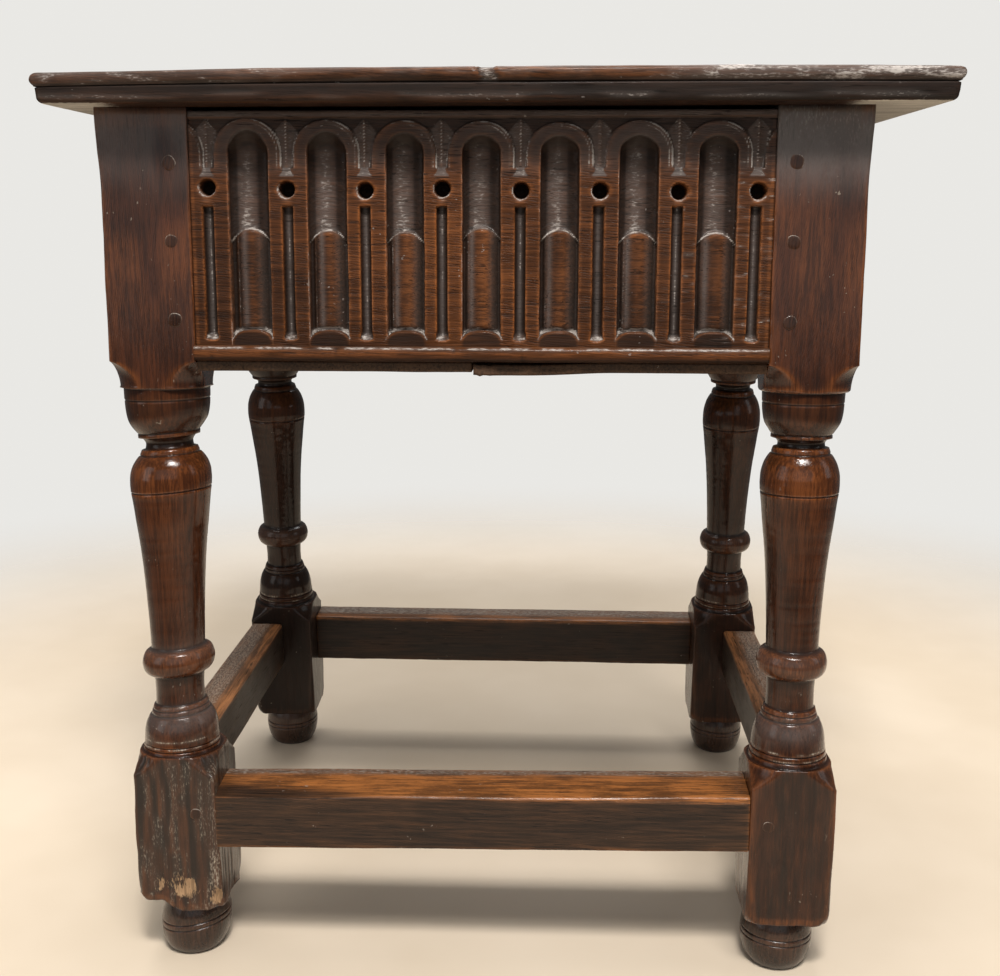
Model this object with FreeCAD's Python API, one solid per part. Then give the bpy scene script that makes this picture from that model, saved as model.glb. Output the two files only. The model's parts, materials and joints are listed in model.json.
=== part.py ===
import FreeCAD, Part
import math
import os

from FreeCAD import Placement, Rotation, Vector

# Joined oak box stool of the second half of the 17th century, in millimetres.
# Seen from the front, +X is to the right, the front faces -Y and Z is up from the floor.
# The origin is on the floor, under the middle of the lid.

# Frame
frame_width = 447.0            # over the outer faces of the legs, left to right
frame_depth = 322.0            # over the outer faces of the leg tops, front to back
leg_top_height = 540.0         # floor to the underside of the lid
leg_splay = 29.0               # how far a leg leans out, front or back, from its top to the floor
leg_square = 53.0              # side of the square stock that the legs are turned from

# Lid
lid_thickness = 18.0
lid_left_overhang = 28.5
lid_right_overhang = 42.8
lid_front_overhang = 27.0
lid_back_overhang = 27.0
lid_gap = 2.0                  # the rails stop this far under the lid, which rests on the legs
nosing_thickness = 8.3         # rounded upper part of the lid's moulded edge
nosing_round = 3.2
lid_band_setback = 2.0         # lower, squarer part of the moulded edge
lid_band_round = 3.4

# Frieze rails
frieze_height = 144.5
rail_thickness = 24.0
rail_setback = 1.0             # the rails' faces lie this far behind the legs' faces
rail_tenon_thickness = 8.0
rail_tenon_haunch = 18.0       # cut away above the tenon
rail_tenon_shoulder = 6.0      # cut away below the tenon
bead_height = 9.2              # run moulding planted along the lower edge of each rail
bead_projection = 5.5
bead_lip = 1.6                 # square part of the bead, next to the rail

# Carved arcade of the front rail
bay_pitch = 45.6
arcade_offset = 1.1            # middle bay to the right of the rail's middle, as the carver set it out
flute_width = 22.5
flute_depth = 5.5
arch_band_width = 8.6          # flat band that goes round each flute
frieze_top_margin = 4.6        # plain wood above the arches
frieze_foot_margin = 3.4       # plain wood between the bead and the carving
flute_foot_rise = 6.0          # the flute's foot is an arch of uncut wood of this height
reed_height = 58.0             # convex filling in the lower part of each flute
reed_crown_rise = 4.5
reed_width = 17.0
reed_setback = 1.0             # crest of the reed behind the rail's face
hole_diameter = 9.0
hole_depth = 12.0
hole_drop = 20.0               # centre of a drilled hole below the spring of the arches
slot_depth = 4.0               # gouged slot under each hole
slot_gap = 4.5                 # uncut wood between a hole and its slot, and its leaf
slot_foot_width = 11.0
slot_foot_height = 6.0
leaf_depth = 3.0               # sunk leaf between two arches, above each hole
leaf_rib_width = 1.6
leaf_turn = 53.0               # degrees of the arch that the edge of a leaf follows

# Boards under the rails
bottom_board_thickness = 6.0
bottom_seam_gap = 1.0
bottom_seam_offset = -4.0      # seam between the two boards, from the middle of the frame
board_leg_clearance = 0.6
nail_square = 3.0
nail_head_square = 7.0
nail_head_height = 1.6
nail_length = 24.0
nail_corner_margin = 22.0      # first nail of a row, from the legs
long_row_nails = 3             # nails of one board in the front rail, and in the back rail
side_row_nails = 3             # nails of one board in its side rail

# Stretchers
foot_height = 37.0
block_below_stretcher = 48.0
stretcher_height = 38.0
block_above_stretcher = 14.0
front_stretcher_thickness = 36.0
stretcher_thickness = 27.0     # the back and the two side stretchers
stretcher_setback = 0.6
stretcher_tenon_thickness = 11.0
stretcher_tenon_shoulder = 4.0
tread_width = 17.0             # worn slope along the top of the front stretcher
tread_drop = 2.6
tread_bend_share = 0.45        # the slope bends at this share of its width
tread_bend_drop_share = 0.3    # and at this share of its drop

# Fits and pegs of the joints
tenon_setback = 12.0           # outer face of the legs to the tenons
mortise_web = 1.5              # wood left between two mortises that meet at a corner
tenon_end_gap = 1.0
rail_peg_diameter = 8.5
stretcher_peg_diameter = 7.5
peg_inset = 11.5               # centre of a peg from the joint line
peg_proud = 0.5
peg_web = 1.2                  # wood left between pegs that cross at a corner
peg_sides = 8
rail_peg_shares = (0.15, 0.53, 0.905)
stretcher_peg_share = 0.5

# Turned legs
block_drop = 17.5              # the upper block runs on this far below the rails
arch_height = 19.0             # the turning cuts the corners of the blocks to arches this high
arch_root_radius = 29.5
arch_shoulder_radius = 34.5
foot_end_arch_height = 26.0
foot_end_radius = 33.0
foot_end_shoulder_radius = 36.3
arch_shoulder_share = 0.42     # place of an arch's shoulder within its height
arch_run_out_share = 1.25      # and of the point where the cut runs out of the wood
arch_clear_share = 0.8         # distance of that point from the leg's axis, in sides of the stock
cup_length = 29.0
cup_radius = 26.0
cup_bulge_share = 0.7          # place of the fullest part of the cup, down from the block
cup_bulge_radius = 23.6
cup_foot_radius = 16.8
neck_length = 7.5
neck_radius = 14.2
neck_end_radius = 16.0
collar_length = 3.0
collar_radius = 18.0
shoulder_length = 18.5
shoulder_start_radius = 20.3
shoulder_bulge_radius = 23.8
shoulder_radius = 25.1
taper_middle_radius = 20.0
waist_radius = 16.2
ring_length = 17.0
ring_radius = 23.3
shank_length = 17.5
shank_radius = 15.2
base_fillet_length = 4.5
base_fillet_radius = 17.4
base_cup_length = 34.0
base_cup_start_radius = 19.0
base_cup_middle_share = 0.34
base_cup_middle_radius = 23.2
base_cup_end_radius = 26.0

# Bun feet
foot_radius = 24.2
foot_bulge_share = 0.58        # height of its fullest turn within the foot
foot_top_radius = 20.5
foot_heel_radius = 18.4
foot_heel_height = 1.8
foot_sole_radius = 16.4
front_foot_inset = 3.5         # the front feet stand this far inside the middle of their legs
spigot_radius = 11.0
spigot_length = 24.0
spigot_clearance = 0.15

# Iron loop hinges, each a rail eye linked with a lid loop
hinge_wire = 3.0               # square section of the iron
eye_bore_radius = 3.6
loop_bore_radius = 3.4
hinge_standoff = 9.5           # pin line behind the face of the back rail
hinge_slack = 1.2              # between the lid loop's ring and the lid
hinge_leg_distance = 39.5      # middle of a hinge from the inner side of the leg next to it
clench_length = 13.0
clench_thickness = 1.5

# Derived places
frame_middle = (lid_left_overhang - lid_right_overhang) / 2
splay_slope = leg_splay / leg_top_height
splay_angle = math.degrees(math.atan(splay_slope))
slant = math.cos(math.radians(splay_angle))
rail_span = frame_width - 2 * leg_square
rail_top = leg_top_height - lid_gap
rail_bottom = rail_top - frieze_height
upper_block_end = rail_bottom - block_drop
stretcher_bottom = foot_height + block_below_stretcher
stretcher_top = stretcher_bottom + stretcher_height
lower_block_top = stretcher_top + block_above_stretcher
rail_tenon_length = leg_square - tenon_setback - rail_tenon_thickness - mortise_web
stretcher_tenon_length = leg_square - tenon_setback - stretcher_tenon_thickness - mortise_web
seam_x = frame_middle + bottom_seam_offset
bay_count = int(rail_span / bay_pitch)      # as many whole bays as the front rail takes
overrun = leg_square           # every through cut runs on by this much
sides = {"left": -1, "right": 1}
ends = {"front": False, "back": True}


def along(height):
    """Place along a leg, counted from its top, of a point at a height above the floor."""
    return -(leg_top_height - height) / slant


def block(x0, x1, y0, y1, z0, z1):
    """Square-edged block between two corners."""
    return Part.makeBox(x1 - x0, y1 - y0, z1 - z0, Vector(x0, y0, z0))


def in_frame(shape, back):
    """Lean a front assembly's piece out at its foot and stand it in the front or the back of the stool.

    The piece is drawn upright: x from the middle of the frame, y inwards from the
    legs' outer faces and z up from the underside of the lid.
    """
    placed = shape.copy()
    placed.Placement = frame_placement(back).multiply(placed.Placement)
    return placed


def frame_placement(back):
    """Where the front or the back assembly stands."""
    lean = Placement(Vector(0, -frame_depth / 2, leg_top_height), Rotation(Vector(1, 0, 0), -splay_angle))
    turn = Placement(Vector(frame_middle, 0, 0), Rotation(Vector(0, 0, 1), 180 if back else 0))
    return turn.multiply(lean)


def levelled(shape, low, high):
    """Saw a standing piece off level at two heights."""
    reach = frame_width + leg_square
    return shape.common(block(-reach, reach, -reach, reach, low, high))


def face_at(height):
    """Distance of the legs' outer faces, front or back, from the middle of the stool."""
    return frame_depth / 2 + (leg_top_height - height) * splay_slope


def inner_face_at(height):
    """Distance of the legs' inner faces, front or back, from the middle of the stool."""
    return face_at(height) - leg_square / slant


def prism(points, depth):
    """Solid of a flat outline, carried along a vector."""
    return Part.Face(Part.makePolygon(points + points[:1])).extrude(depth)


def arc_through(start, middle, end):
    """Round edge through three points."""
    return Part.Arc(start, middle, end).toShape()


def sweep_through(start, middle, end):
    """Freely bending edge through three points, as a gouge or a turning tool leaves it."""
    curve = Part.BSplineCurve()
    curve.interpolate([start, middle, end])
    return curve.toShape()


def outline(start, moves, bend=arc_through):
    """Face of an outline. A move is one point for a line, or two for a bend through the first."""
    edges = []
    here = start
    for move in moves:
        if len(move) == 1:
            edges.append(Part.LineSegment(here, move[0]).toShape())
        else:
            edges.append(bend(here, move[0], move[1]))
        here = move[-1]
    edges.append(Part.LineSegment(here, start).toShape())
    return Part.Face(Part.Wire(edges))


def turned(start, moves, bend=sweep_through):
    """Solid turned from a half outline about the z axis."""
    return outline(start, moves, bend).revolve(Vector(0, 0, 0), Vector(0, 0, 1), 360)


def peg(diameter, length):
    """Riven eight-sided peg along z, from its head at zero downwards."""
    half_side = math.pi / peg_sides
    reach = diameter / 2 / math.cos(half_side)
    corners = []
    for step in range(peg_sides):
        angle = half_side + 2 * step * half_side
        corners.append(Vector(reach * math.cos(angle), reach * math.sin(angle), 0))
    return prism(corners, Vector(0, 0, -length))


def corner_arch(height, direction, root_radius, shoulder_radius, rise):
    """Half outline of the turner's rounded cut at the end of a square block, from outside the corner."""
    clear_height = height + direction * arch_run_out_share * rise
    shoulder_height = height + direction * arch_shoulder_share * rise
    clear = Vector(arch_clear_share * leg_square, 0, along(clear_height))
    shoulder = Vector(shoulder_radius, 0, along(shoulder_height))
    root = Vector(root_radius, 0, along(height))
    return clear, shoulder, root


def turning():
    """Revolved body that the square stock of a leg is cut to, about its own axis."""
    top = along(leg_top_height) + overrun
    clear, shoulder, root = corner_arch(
        upper_block_end, 1, arch_root_radius, arch_shoulder_radius, arch_height
    )
    moves = [(Vector(leg_square, 0, top),), (Vector(leg_square, 0, clear.z),), (clear,), (shoulder, root)]

    def line(radius, height):
        moves.append((Vector(radius, 0, along(height)),))

    def curve(middle_radius, middle_height, radius, height):
        moves.append((Vector(middle_radius, 0, along(middle_height)), Vector(radius, 0, along(height))))

    # Upper cup and neck
    height = upper_block_end
    line(cup_radius, height)
    cup_end = height - cup_length
    curve(cup_bulge_radius, height - cup_bulge_share * cup_length, cup_foot_radius, cup_end)
    height = cup_end - neck_length
    curve(neck_radius, cup_end - neck_length / 2, neck_end_radius, height)

    # Collar and shoulder of the baluster
    line(collar_radius, height)
    height -= collar_length
    line(collar_radius, height)
    line(shoulder_start_radius, height)
    shoulder_end = height - shoulder_length
    curve(shoulder_bulge_radius, height - shoulder_length / 2, shoulder_radius, shoulder_end)
    height = shoulder_end

    # Long taper down to the ring
    shank_end = lower_block_top + base_cup_length + base_fillet_length
    ring_bottom = shank_end + shank_length
    ring_top = ring_bottom + ring_length
    line(taper_middle_radius, (height + ring_top) / 2)
    line(waist_radius, ring_top)
    curve(ring_radius, (ring_top + ring_bottom) / 2, shank_radius, ring_bottom)
    line(shank_radius, shank_end)

    # Lower fillet and cup
    line(base_fillet_radius, shank_end)
    height = shank_end - base_fillet_length
    line(base_fillet_radius, height)
    line(base_cup_start_radius, height)
    middle = height - base_cup_middle_share * base_cup_length
    curve(base_cup_middle_radius, middle, base_cup_end_radius, lower_block_top)

    # Lower block, with arched corners at both ends
    clear, shoulder, root = corner_arch(
        lower_block_top, -1, arch_root_radius, arch_shoulder_radius, arch_height
    )
    moves.append((root,))
    moves.append((shoulder, clear))
    clear, shoulder, root = corner_arch(
        foot_height, 1, foot_end_radius, foot_end_shoulder_radius, foot_end_arch_height
    )
    moves.append((clear,))
    moves.append((shoulder, root))
    moves.append((Vector(0, 0, along(foot_height)),))
    return turned(Vector(0, 0, top), moves)


def leg(side, back):
    """One leg, standing in the stool, before its joints are cut."""
    middle = Vector(side * (frame_width - leg_square) / 2, leg_square / 2, 0)
    half = leg_square / 2
    stock = block(-half, half, -half, half, along(foot_height), overrun)
    shape = stock.common(turning())
    shape.translate(middle)
    spigot_hole = Part.makeCylinder(
        spigot_radius + spigot_clearance,
        spigot_length + tenon_end_gap,
        Vector(foot_x(side, back), half, along(foot_height)),
    )
    return levelled(in_frame(shape.cut(spigot_hole), back), 0, leg_top_height)


def foot_x(side, back):
    """Place of a foot across its frame: the front feet are set in towards each other."""
    inset = 0 if back else front_foot_inset
    return side * ((frame_width - leg_square) / 2 - inset)


def foot(side, back):
    """Bun foot with a round spigot, cut level where it meets the floor."""
    bulge_height = foot_bulge_share * foot_height
    sunk = along(-foot_sole_radius * splay_slope * 2)
    moves = [
        (Vector(spigot_radius, 0, along(foot_height) + spigot_length),),
        (Vector(spigot_radius, 0, along(foot_height)),),
        (Vector(foot_top_radius, 0, along(foot_height)),),
        (Vector(foot_radius, 0, along(bulge_height)), Vector(foot_heel_radius, 0, along(foot_heel_height))),
        (Vector(foot_sole_radius, 0, sunk),),
        (Vector(0, 0, sunk),),
    ]
    shape = turned(Vector(0, 0, along(foot_height) + spigot_length), moves)
    shape.translate(Vector(foot_x(side, back), leg_square / 2, 0))
    return levelled(in_frame(shape, back), 0, leg_top_height)


def end_tenons(bottom, top, thickness, length, growth):
    """Two tenons, one at each end of a front or back member, in its upright drawing place."""
    reach = rail_span / 2 + length + growth
    y0 = tenon_setback
    return block(-reach, reach, y0, y0 + thickness, along(bottom), along(top))


def end_member(bottom, top, setback, thickness, tenon):
    """Front or back rail or stretcher with its tenons, in its upright drawing place."""
    body = block(-rail_span / 2, rail_span / 2, setback, setback + thickness, along(bottom), along(top))
    return body.fuse(tenon).removeSplitter()


def side_member(side, bottom, top, setback, thickness):
    """Side rail or stretcher between the leaning legs, with slanting shoulders."""
    face = frame_middle + side * (frame_width / 2 - setback)
    points = [
        Vector(face, -inner_face_at(bottom), bottom),
        Vector(face, inner_face_at(bottom), bottom),
        Vector(face, inner_face_at(top), top),
        Vector(face, -inner_face_at(top), top),
    ]
    return prism(points, Vector(-side * thickness, 0, 0))


def side_tenons(side, bottom, top, thickness, length):
    """Two tenons, one at each end of a side member. Their ends slant like the legs."""
    face = frame_middle + side * (frame_width / 2 - tenon_setback)
    low = inner_face_at(bottom) + length / slant
    high = inner_face_at(top) + length / slant
    points = [
        Vector(face, -low, bottom),
        Vector(face, low, bottom),
        Vector(face, high, top),
        Vector(face, -high, top),
    ]
    return prism(points, Vector(-side * thickness, 0, 0))


def joint_sizes(kind):
    """Tenon bottom, top, thickness and length of a rail or a stretcher."""
    if kind == "rail":
        low = rail_bottom + rail_tenon_shoulder
        high = rail_top - rail_tenon_haunch
        return low, high, rail_tenon_thickness, rail_tenon_length
    low = stretcher_bottom + stretcher_tenon_shoulder
    high = stretcher_top - stretcher_tenon_shoulder
    return low, high, stretcher_tenon_thickness, stretcher_tenon_length


def peg_heights(kind):
    """Heights of the pegs of one joint."""
    low, high = joint_sizes(kind)[:2]
    shares = rail_peg_shares if kind == "rail" else (stretcher_peg_share,)
    return [low + share * (high - low) for share in shares]


def peg_length(diameter):
    """Length of a peg that stops short of the peg crossing it in the same leg."""
    return leg_square - peg_inset - diameter / 2 - peg_web


def end_pegs(kind, diameter, back):
    """Pegs of a front or back member, driven square to the legs' outer faces."""
    pegs = []
    length = peg_length(diameter) + peg_proud
    for side in sides.values():
        for height in peg_heights(kind):
            place = Vector(side * (rail_span / 2 + peg_inset), -peg_proud, along(height))
            shape = peg(diameter, length)
            shape.Placement = Placement(place, Rotation(Vector(1, 0, 0), 90))
            pegs.append(in_frame(shape, back))
    return pegs


def side_pegs(kind, diameter, side):
    """Pegs of a side member, driven level from the outer side of the legs."""
    pegs = []
    length = peg_length(diameter) + peg_proud
    face = frame_middle + side * (frame_width / 2 + peg_proud)
    for direction in (-1, 1):
        for height in peg_heights(kind):
            place = Vector(face, direction * (inner_face_at(height) + peg_inset / slant), height)
            shape = peg(diameter, length)
            shape.Placement = Placement(place, Rotation(Vector(0, 1, 0), 90 * side))
            pegs.append(shape)
    return pegs


def flute_and_reed():
    """Cutter of one bay: a hollow flute with a round head, over a channel that holds a convex reed.

    Drawn with the rail's face at y = 0, the wood towards +y, and z up from the rail's lower edge.
    """
    foot = bead_height + frieze_foot_margin
    half = flute_width / 2
    spring = frieze_height - frieze_top_margin - arch_band_width - half
    hollow_radius = (half * half + flute_depth * flute_depth) / (2 * flute_depth)
    reed_top = foot + flute_foot_rise + reed_height

    # Hollow with a round head, turned about its own upright axis
    low = reed_top - reed_crown_rise
    quarter_bend = hollow_radius * math.sin(math.pi / 4)
    hollow = turned(
        Vector(0, 0, low),
        [
            (Vector(hollow_radius, 0, low),),
            (Vector(hollow_radius, 0, spring),),
            (Vector(quarter_bend, 0, spring + quarter_bend), Vector(0, 0, spring + hollow_radius)),
        ],
        arc_through,
    )
    hollow.translate(Vector(0, flute_depth - hollow_radius, 0))

    # Channel round the reed, with an arched foot
    foot_arch = outline(
        Vector(-half, 0, foot),
        [
            (Vector(0, 0, foot + flute_foot_rise), Vector(half, 0, foot)),
            (Vector(half, 0, reed_top - reed_crown_rise),),
            (Vector(0, 0, reed_top), Vector(-half, 0, reed_top - reed_crown_rise)),
        ],
    )
    channel = foot_arch.extrude(Vector(0, flute_depth, 0))

    # Reed, a half round left standing in the channel
    sag = flute_depth - reed_setback
    reed_radius = (reed_width * reed_width / 4 + sag * sag) / (2 * sag)
    reed = Part.makeCylinder(reed_radius, frieze_height, Vector(0, reed_setback + reed_radius, 0))
    reed = reed.common(channel)
    return hollow.fuse(channel.cut(reed)).cut(reed)


def hole_and_slot():
    """Cutter between two bays: a drilled hole with a gouged slot under it that flares at its foot."""
    foot = bead_height + frieze_foot_margin
    spring = frieze_height - frieze_top_margin - arch_band_width - flute_width / 2
    middle = spring - hole_drop
    slot_half = (bay_pitch - flute_width - 2 * arch_band_width) / 2
    hole = Part.makeCylinder(
        hole_diameter / 2, hole_depth + overrun, Vector(0, -overrun, middle), Vector(0, 1, 0)
    )
    top = middle - hole_diameter / 2 - slot_gap
    slot = prism(
        [
            Vector(-slot_foot_width / 2, 0, foot),
            Vector(slot_foot_width / 2, 0, foot),
            Vector(slot_half, 0, foot + slot_foot_height),
            Vector(slot_half, 0, top),
            Vector(-slot_half, 0, top),
            Vector(-slot_half, 0, foot + slot_foot_height),
        ],
        Vector(0, slot_depth, 0),
    )
    return hole.fuse(slot)


def leaf():
    """Cutter of the sunk leaf between two arches, split by a rib down its middle."""
    band_radius = flute_width / 2 + arch_band_width
    spring = frieze_height - frieze_top_margin - band_radius
    bottom = spring - hole_drop + hole_diameter / 2 + slot_gap
    slot_half = bay_pitch / 2 - band_radius

    def edge(side, turn):
        """Point of the leaf's edge, where it follows an arch round by an angle."""
        angle = math.radians(turn)
        across = bay_pitch / 2 - band_radius * math.cos(angle)
        return Vector(side * across, 0, spring + band_radius * math.sin(angle))

    halves = []
    for side in (-1, 1):
        inner = side * leaf_rib_width / 2
        face = outline(
            Vector(inner, 0, bottom),
            [
                (Vector(side * slot_half, 0, bottom),),
                (Vector(side * slot_half, 0, spring),),
                (edge(side, leaf_turn / 2), edge(side, leaf_turn)),
                (Vector(inner, 0, spring + band_radius),),
            ],
        )
        halves.append(face.extrude(Vector(0, leaf_depth, 0)))
    return halves[0].fuse(halves[1])


def arcade():
    """All cutters of the carved arcade: bays across the middle, holes, slots and leaves between them."""
    cutters = []
    left_end = arcade_offset - bay_count * bay_pitch / 2
    for index in range(bay_count):
        shape = flute_and_reed()
        shape.translate(Vector(left_end + bay_pitch / 2 + index * bay_pitch, 0, 0))
        cutters.append(shape)
    for index in range(bay_count + 1):
        shape = hole_and_slot().fuse(leaf())
        shape.translate(Vector(left_end + index * bay_pitch, 0, 0))
        cutters.append(shape)
    return cutters


def end_rail(back):
    """Front or back frieze rail. The front one carries the carved arcade."""
    low, high, thickness, length = joint_sizes("rail")
    tenon = end_tenons(low, high, thickness, length, 0)
    shape = end_member(rail_bottom, rail_top + lid_gap / 2, rail_setback, rail_thickness, tenon)
    if not back:
        carving = Part.makeCompound(arcade())
        carving.translate(Vector(0, rail_setback, along(rail_bottom)))
        shape = shape.cut(carving)
    return levelled(in_frame(shape, back), rail_bottom, rail_top)


def side_rail(side):
    """Side frieze rail, plain above its bead."""
    low, high, thickness, length = joint_sizes("rail")
    body = side_member(side, rail_bottom, rail_top, rail_setback, rail_thickness)
    return body.fuse(side_tenons(side, low, high, thickness, length)).removeSplitter()


def front_stretcher():
    """Front stretcher, with a worn tread along its outer top edge."""
    low, high, thickness, length = joint_sizes("stretcher")
    shape = end_member(
        stretcher_bottom, stretcher_top, stretcher_setback, front_stretcher_thickness,
        end_tenons(low, high, thickness, length, 0),
    )
    top = along(stretcher_top)
    end = -rail_span / 2
    front = stretcher_setback
    bend = Vector(end, front + tread_bend_share * tread_width, top - tread_bend_drop_share * tread_drop)
    worn = outline(
        Vector(end, front, top - tread_drop),
        [
            (bend, Vector(end, front + tread_width, top)),
            (Vector(end, front + tread_width, top + overrun),),
            (Vector(end, front - overrun, top + overrun),),
            (Vector(end, front - overrun, top - tread_drop),),
        ],
    )
    return in_frame(shape.cut(worn.extrude(Vector(rail_span, 0, 0))), False)


def back_stretcher():
    """Back stretcher."""
    low, high, thickness, length = joint_sizes("stretcher")
    tenon = end_tenons(low, high, thickness, length, 0)
    shape = end_member(stretcher_bottom, stretcher_top, stretcher_setback, stretcher_thickness, tenon)
    return in_frame(shape, True)


def side_stretcher(side):
    """Side stretcher between a front and a back leg."""
    low, high, thickness, length = joint_sizes("stretcher")
    body = side_member(side, stretcher_bottom, stretcher_top, stretcher_setback, stretcher_thickness)
    return body.fuse(side_tenons(side, low, high, thickness, length)).removeSplitter()


def mortises(side, back):
    """Cutters of the four mortises of one leg."""
    cutters = []
    for kind in ("rail", "stretcher"):
        low, high, thickness, length = joint_sizes(kind)
        cutters.append(in_frame(end_tenons(low, high, thickness, length, tenon_end_gap), back))
        cutters.append(side_tenons(side, low, high, thickness, length + tenon_end_gap))
    return cutters


def bead_outline(across, up):
    """Outline of the bead: a square lip against the rail, then a half round."""
    return outline(
        Vector(0, 0, 0),
        [
            (across * bead_lip,),
            (across * bead_projection + up * bead_height / 2, across * bead_lip + up * bead_height),
            (up * bead_height,),
        ],
    )


def end_bead(back):
    """Bead planted on the front or back rail, between the legs."""
    shape = bead_outline(Vector(0, -1, 0), Vector(0, 0, 1)).extrude(Vector(rail_span, 0, 0))
    shape.translate(Vector(-rail_span / 2, rail_setback, along(rail_bottom)))
    return levelled(in_frame(shape, back), rail_bottom, rail_top)


def side_bead(side):
    """Bead planted on a side rail. Its ends slant with the legs."""
    reach = face_at(rail_bottom)
    shape = bead_outline(Vector(side, 0, 0), Vector(0, 0, 1)).extrude(Vector(0, 2 * reach, 0))
    shape.translate(Vector(frame_middle + side * (frame_width / 2 - rail_setback), -reach, rail_bottom))
    between_legs = side_member(side, rail_bottom, rail_bottom + bead_height, -overrun, 2 * overrun)
    return shape.common(between_legs)


def lid_board():
    """Single board with a moulded edge: a round nosing over a band that is set in."""
    x0 = frame_middle - frame_width / 2 - lid_left_overhang
    x1 = frame_middle + frame_width / 2 + lid_right_overhang
    y0 = -frame_depth / 2 - lid_front_overhang
    y1 = frame_depth / 2 + lid_back_overhang
    bottom = leg_top_height
    top = bottom + lid_thickness
    split = top - nosing_thickness
    nosing = block(x0, x1, y0, y1, split, top)
    rounded = [edge for edge in nosing.Edges if not is_upright(edge) and not at_back(edge, y1)]
    nosing = nosing.makeFillet(nosing_round, rounded)
    band = block(x0 + lid_band_setback, x1 - lid_band_setback, y0 + lid_band_setback, y1, bottom, split)
    low_edges = []
    for edge in band.Edges:
        if not is_upright(edge) and not at_back(edge, y1) and edge.CenterOfMass.z < split - lid_band_round:
            low_edges.append(edge)
    band = band.makeFillet(lid_band_round, low_edges)
    return nosing.fuse(band).removeSplitter()


def is_upright(edge):
    """Whether an edge stands on end."""
    box = edge.BoundBox
    return box.ZLength > max(box.XLength, box.YLength)


def at_back(edge, y1):
    """Whether an edge lies along the back of the lid."""
    return edge.BoundBox.YMin > y1 - lid_band_setback


def bottom_board(side):
    """Board nailed up under the rails, grain front to back, notched round a front and a back leg."""
    low = rail_bottom - bottom_board_thickness
    reach = face_at(rail_bottom) - rail_setback
    outer = frame_middle + side * (frame_width / 2 - rail_setback)
    inner = seam_x + side * bottom_seam_gap / 2
    shape = block(min(inner, outer), max(inner, outer), -reach, reach, low, rail_bottom)
    for back in ends.values():
        turn = -side if back else side
        middle = turn * (frame_width - leg_square) / 2
        half = leg_square / 2 + board_leg_clearance
        notch = block(
            middle - half, middle + half, -overrun, leg_square + board_leg_clearance,
            along(low) - overrun, along(rail_bottom) + overrun,
        )
        shape = shape.cut(in_frame(notch, back))
    return shape


def nail(x, y):
    """Square nail with a low pointed head, driven up through a bottom board into a rail."""
    head_bottom = rail_bottom - bottom_board_thickness
    half = nail_head_square / 2
    corners = [Vector(x - half, y - half, head_bottom), Vector(x + half, y - half, head_bottom)]
    corners += [Vector(x + half, y + half, head_bottom), Vector(x - half, y + half, head_bottom)]
    tip = Vector(x, y, head_bottom - nail_head_height)
    faces = [Part.Face(Part.makePolygon(corners + corners[:1]))]
    for index in range(4):
        triangle = [corners[index], corners[index - 1], tip]
        faces.append(Part.Face(Part.makePolygon(triangle + triangle[:1])))
    head = Part.Solid(Part.Shell(faces))
    if head.Volume < 0:
        head.reverse()
    half = nail_square / 2
    shank = block(x - half, x + half, y - half, y + half, head_bottom, head_bottom + nail_length)
    return head.fuse(shank)


def nail_places():
    """Places of the nails: rows in the front and back rails, and in the side rails."""
    places = []
    line = face_at(rail_bottom) - rail_setback - rail_thickness / 2
    for side in sides.values():
        near = seam_x + side * nail_corner_margin
        far = frame_middle + side * (rail_span / 2 - nail_corner_margin)
        for index in range(long_row_nails):
            x = near + (far - near) * index / (long_row_nails - 1)
            places.append((x, -line))
            places.append((x, line))
        x = frame_middle + side * (frame_width / 2 - rail_setback - rail_thickness / 2)
        reach = inner_face_at(rail_bottom) - nail_corner_margin
        for index in range(side_row_nails):
            places.append((x, reach * (2 * index / (side_row_nails - 1) - 1)))
    return places


def hinge_places():
    """The two hinges, across the back of the stool."""
    return [frame_middle + side * (rail_span / 2 - hinge_leg_distance) for side in sides.values()]


def loop_ring_radius():
    """Middle of the lid loop's ring to the middle of its iron."""
    return loop_bore_radius + hinge_wire / 2


def pin_line():
    """Distance behind the middle of the stool, and height, of the line that the lid turns on."""
    drop = 2 * loop_ring_radius() + hinge_wire / 2 + hinge_slack
    height = leg_top_height - drop
    behind = face_at(height) - rail_setback / slant + hinge_standoff
    return behind, height


def ring(bore_radius, x, y, z, direction):
    """Flat iron ring about a point, with its hole along a direction."""
    start = Vector(x, y, z) - direction * (hinge_wire / 2)
    outer = Part.makeCylinder(bore_radius + hinge_wire, hinge_wire, start, direction)
    return outer.cut(Part.makeCylinder(bore_radius, hinge_wire, start, direction))


def rail_eye(x):
    """Eye whose ring stands behind the back rail, with a shank through the rail clenched inside."""
    behind, height = pin_line()
    half = hinge_wire / 2
    inside = face_at(height + half) - (rail_setback + rail_thickness) / slant
    shank_start = behind - eye_bore_radius - half
    tail_end = inside - clench_thickness
    body = ring(eye_bore_radius, x, behind, height, Vector(1, 0, 0))
    shank = block(x - half, x + half, tail_end, shank_start, height - half, height + half)
    tail = block(x - half, x + clench_length, tail_end, inside, height - half, height + half)
    return body.fuse(shank).fuse(tail).removeSplitter()


def lid_loop(x):
    """Loop whose ring links through the eye, with a shank up through the lid, clenched and let in on top."""
    behind, height = pin_line()
    half = hinge_wire / 2
    middle = height + loop_ring_radius()
    top = leg_top_height + lid_thickness
    body = ring(loop_bore_radius, x, behind, middle, Vector(0, 1, 0))
    shank_bottom = middle + loop_bore_radius + half
    shank = block(x - half, x + half, behind - half, behind + half, shank_bottom, top)
    tail = block(x - half, x + half, behind - clench_length, behind + half, top - clench_thickness, top)
    return body.fuse(shank).fuse(tail).removeSplitter()


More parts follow.
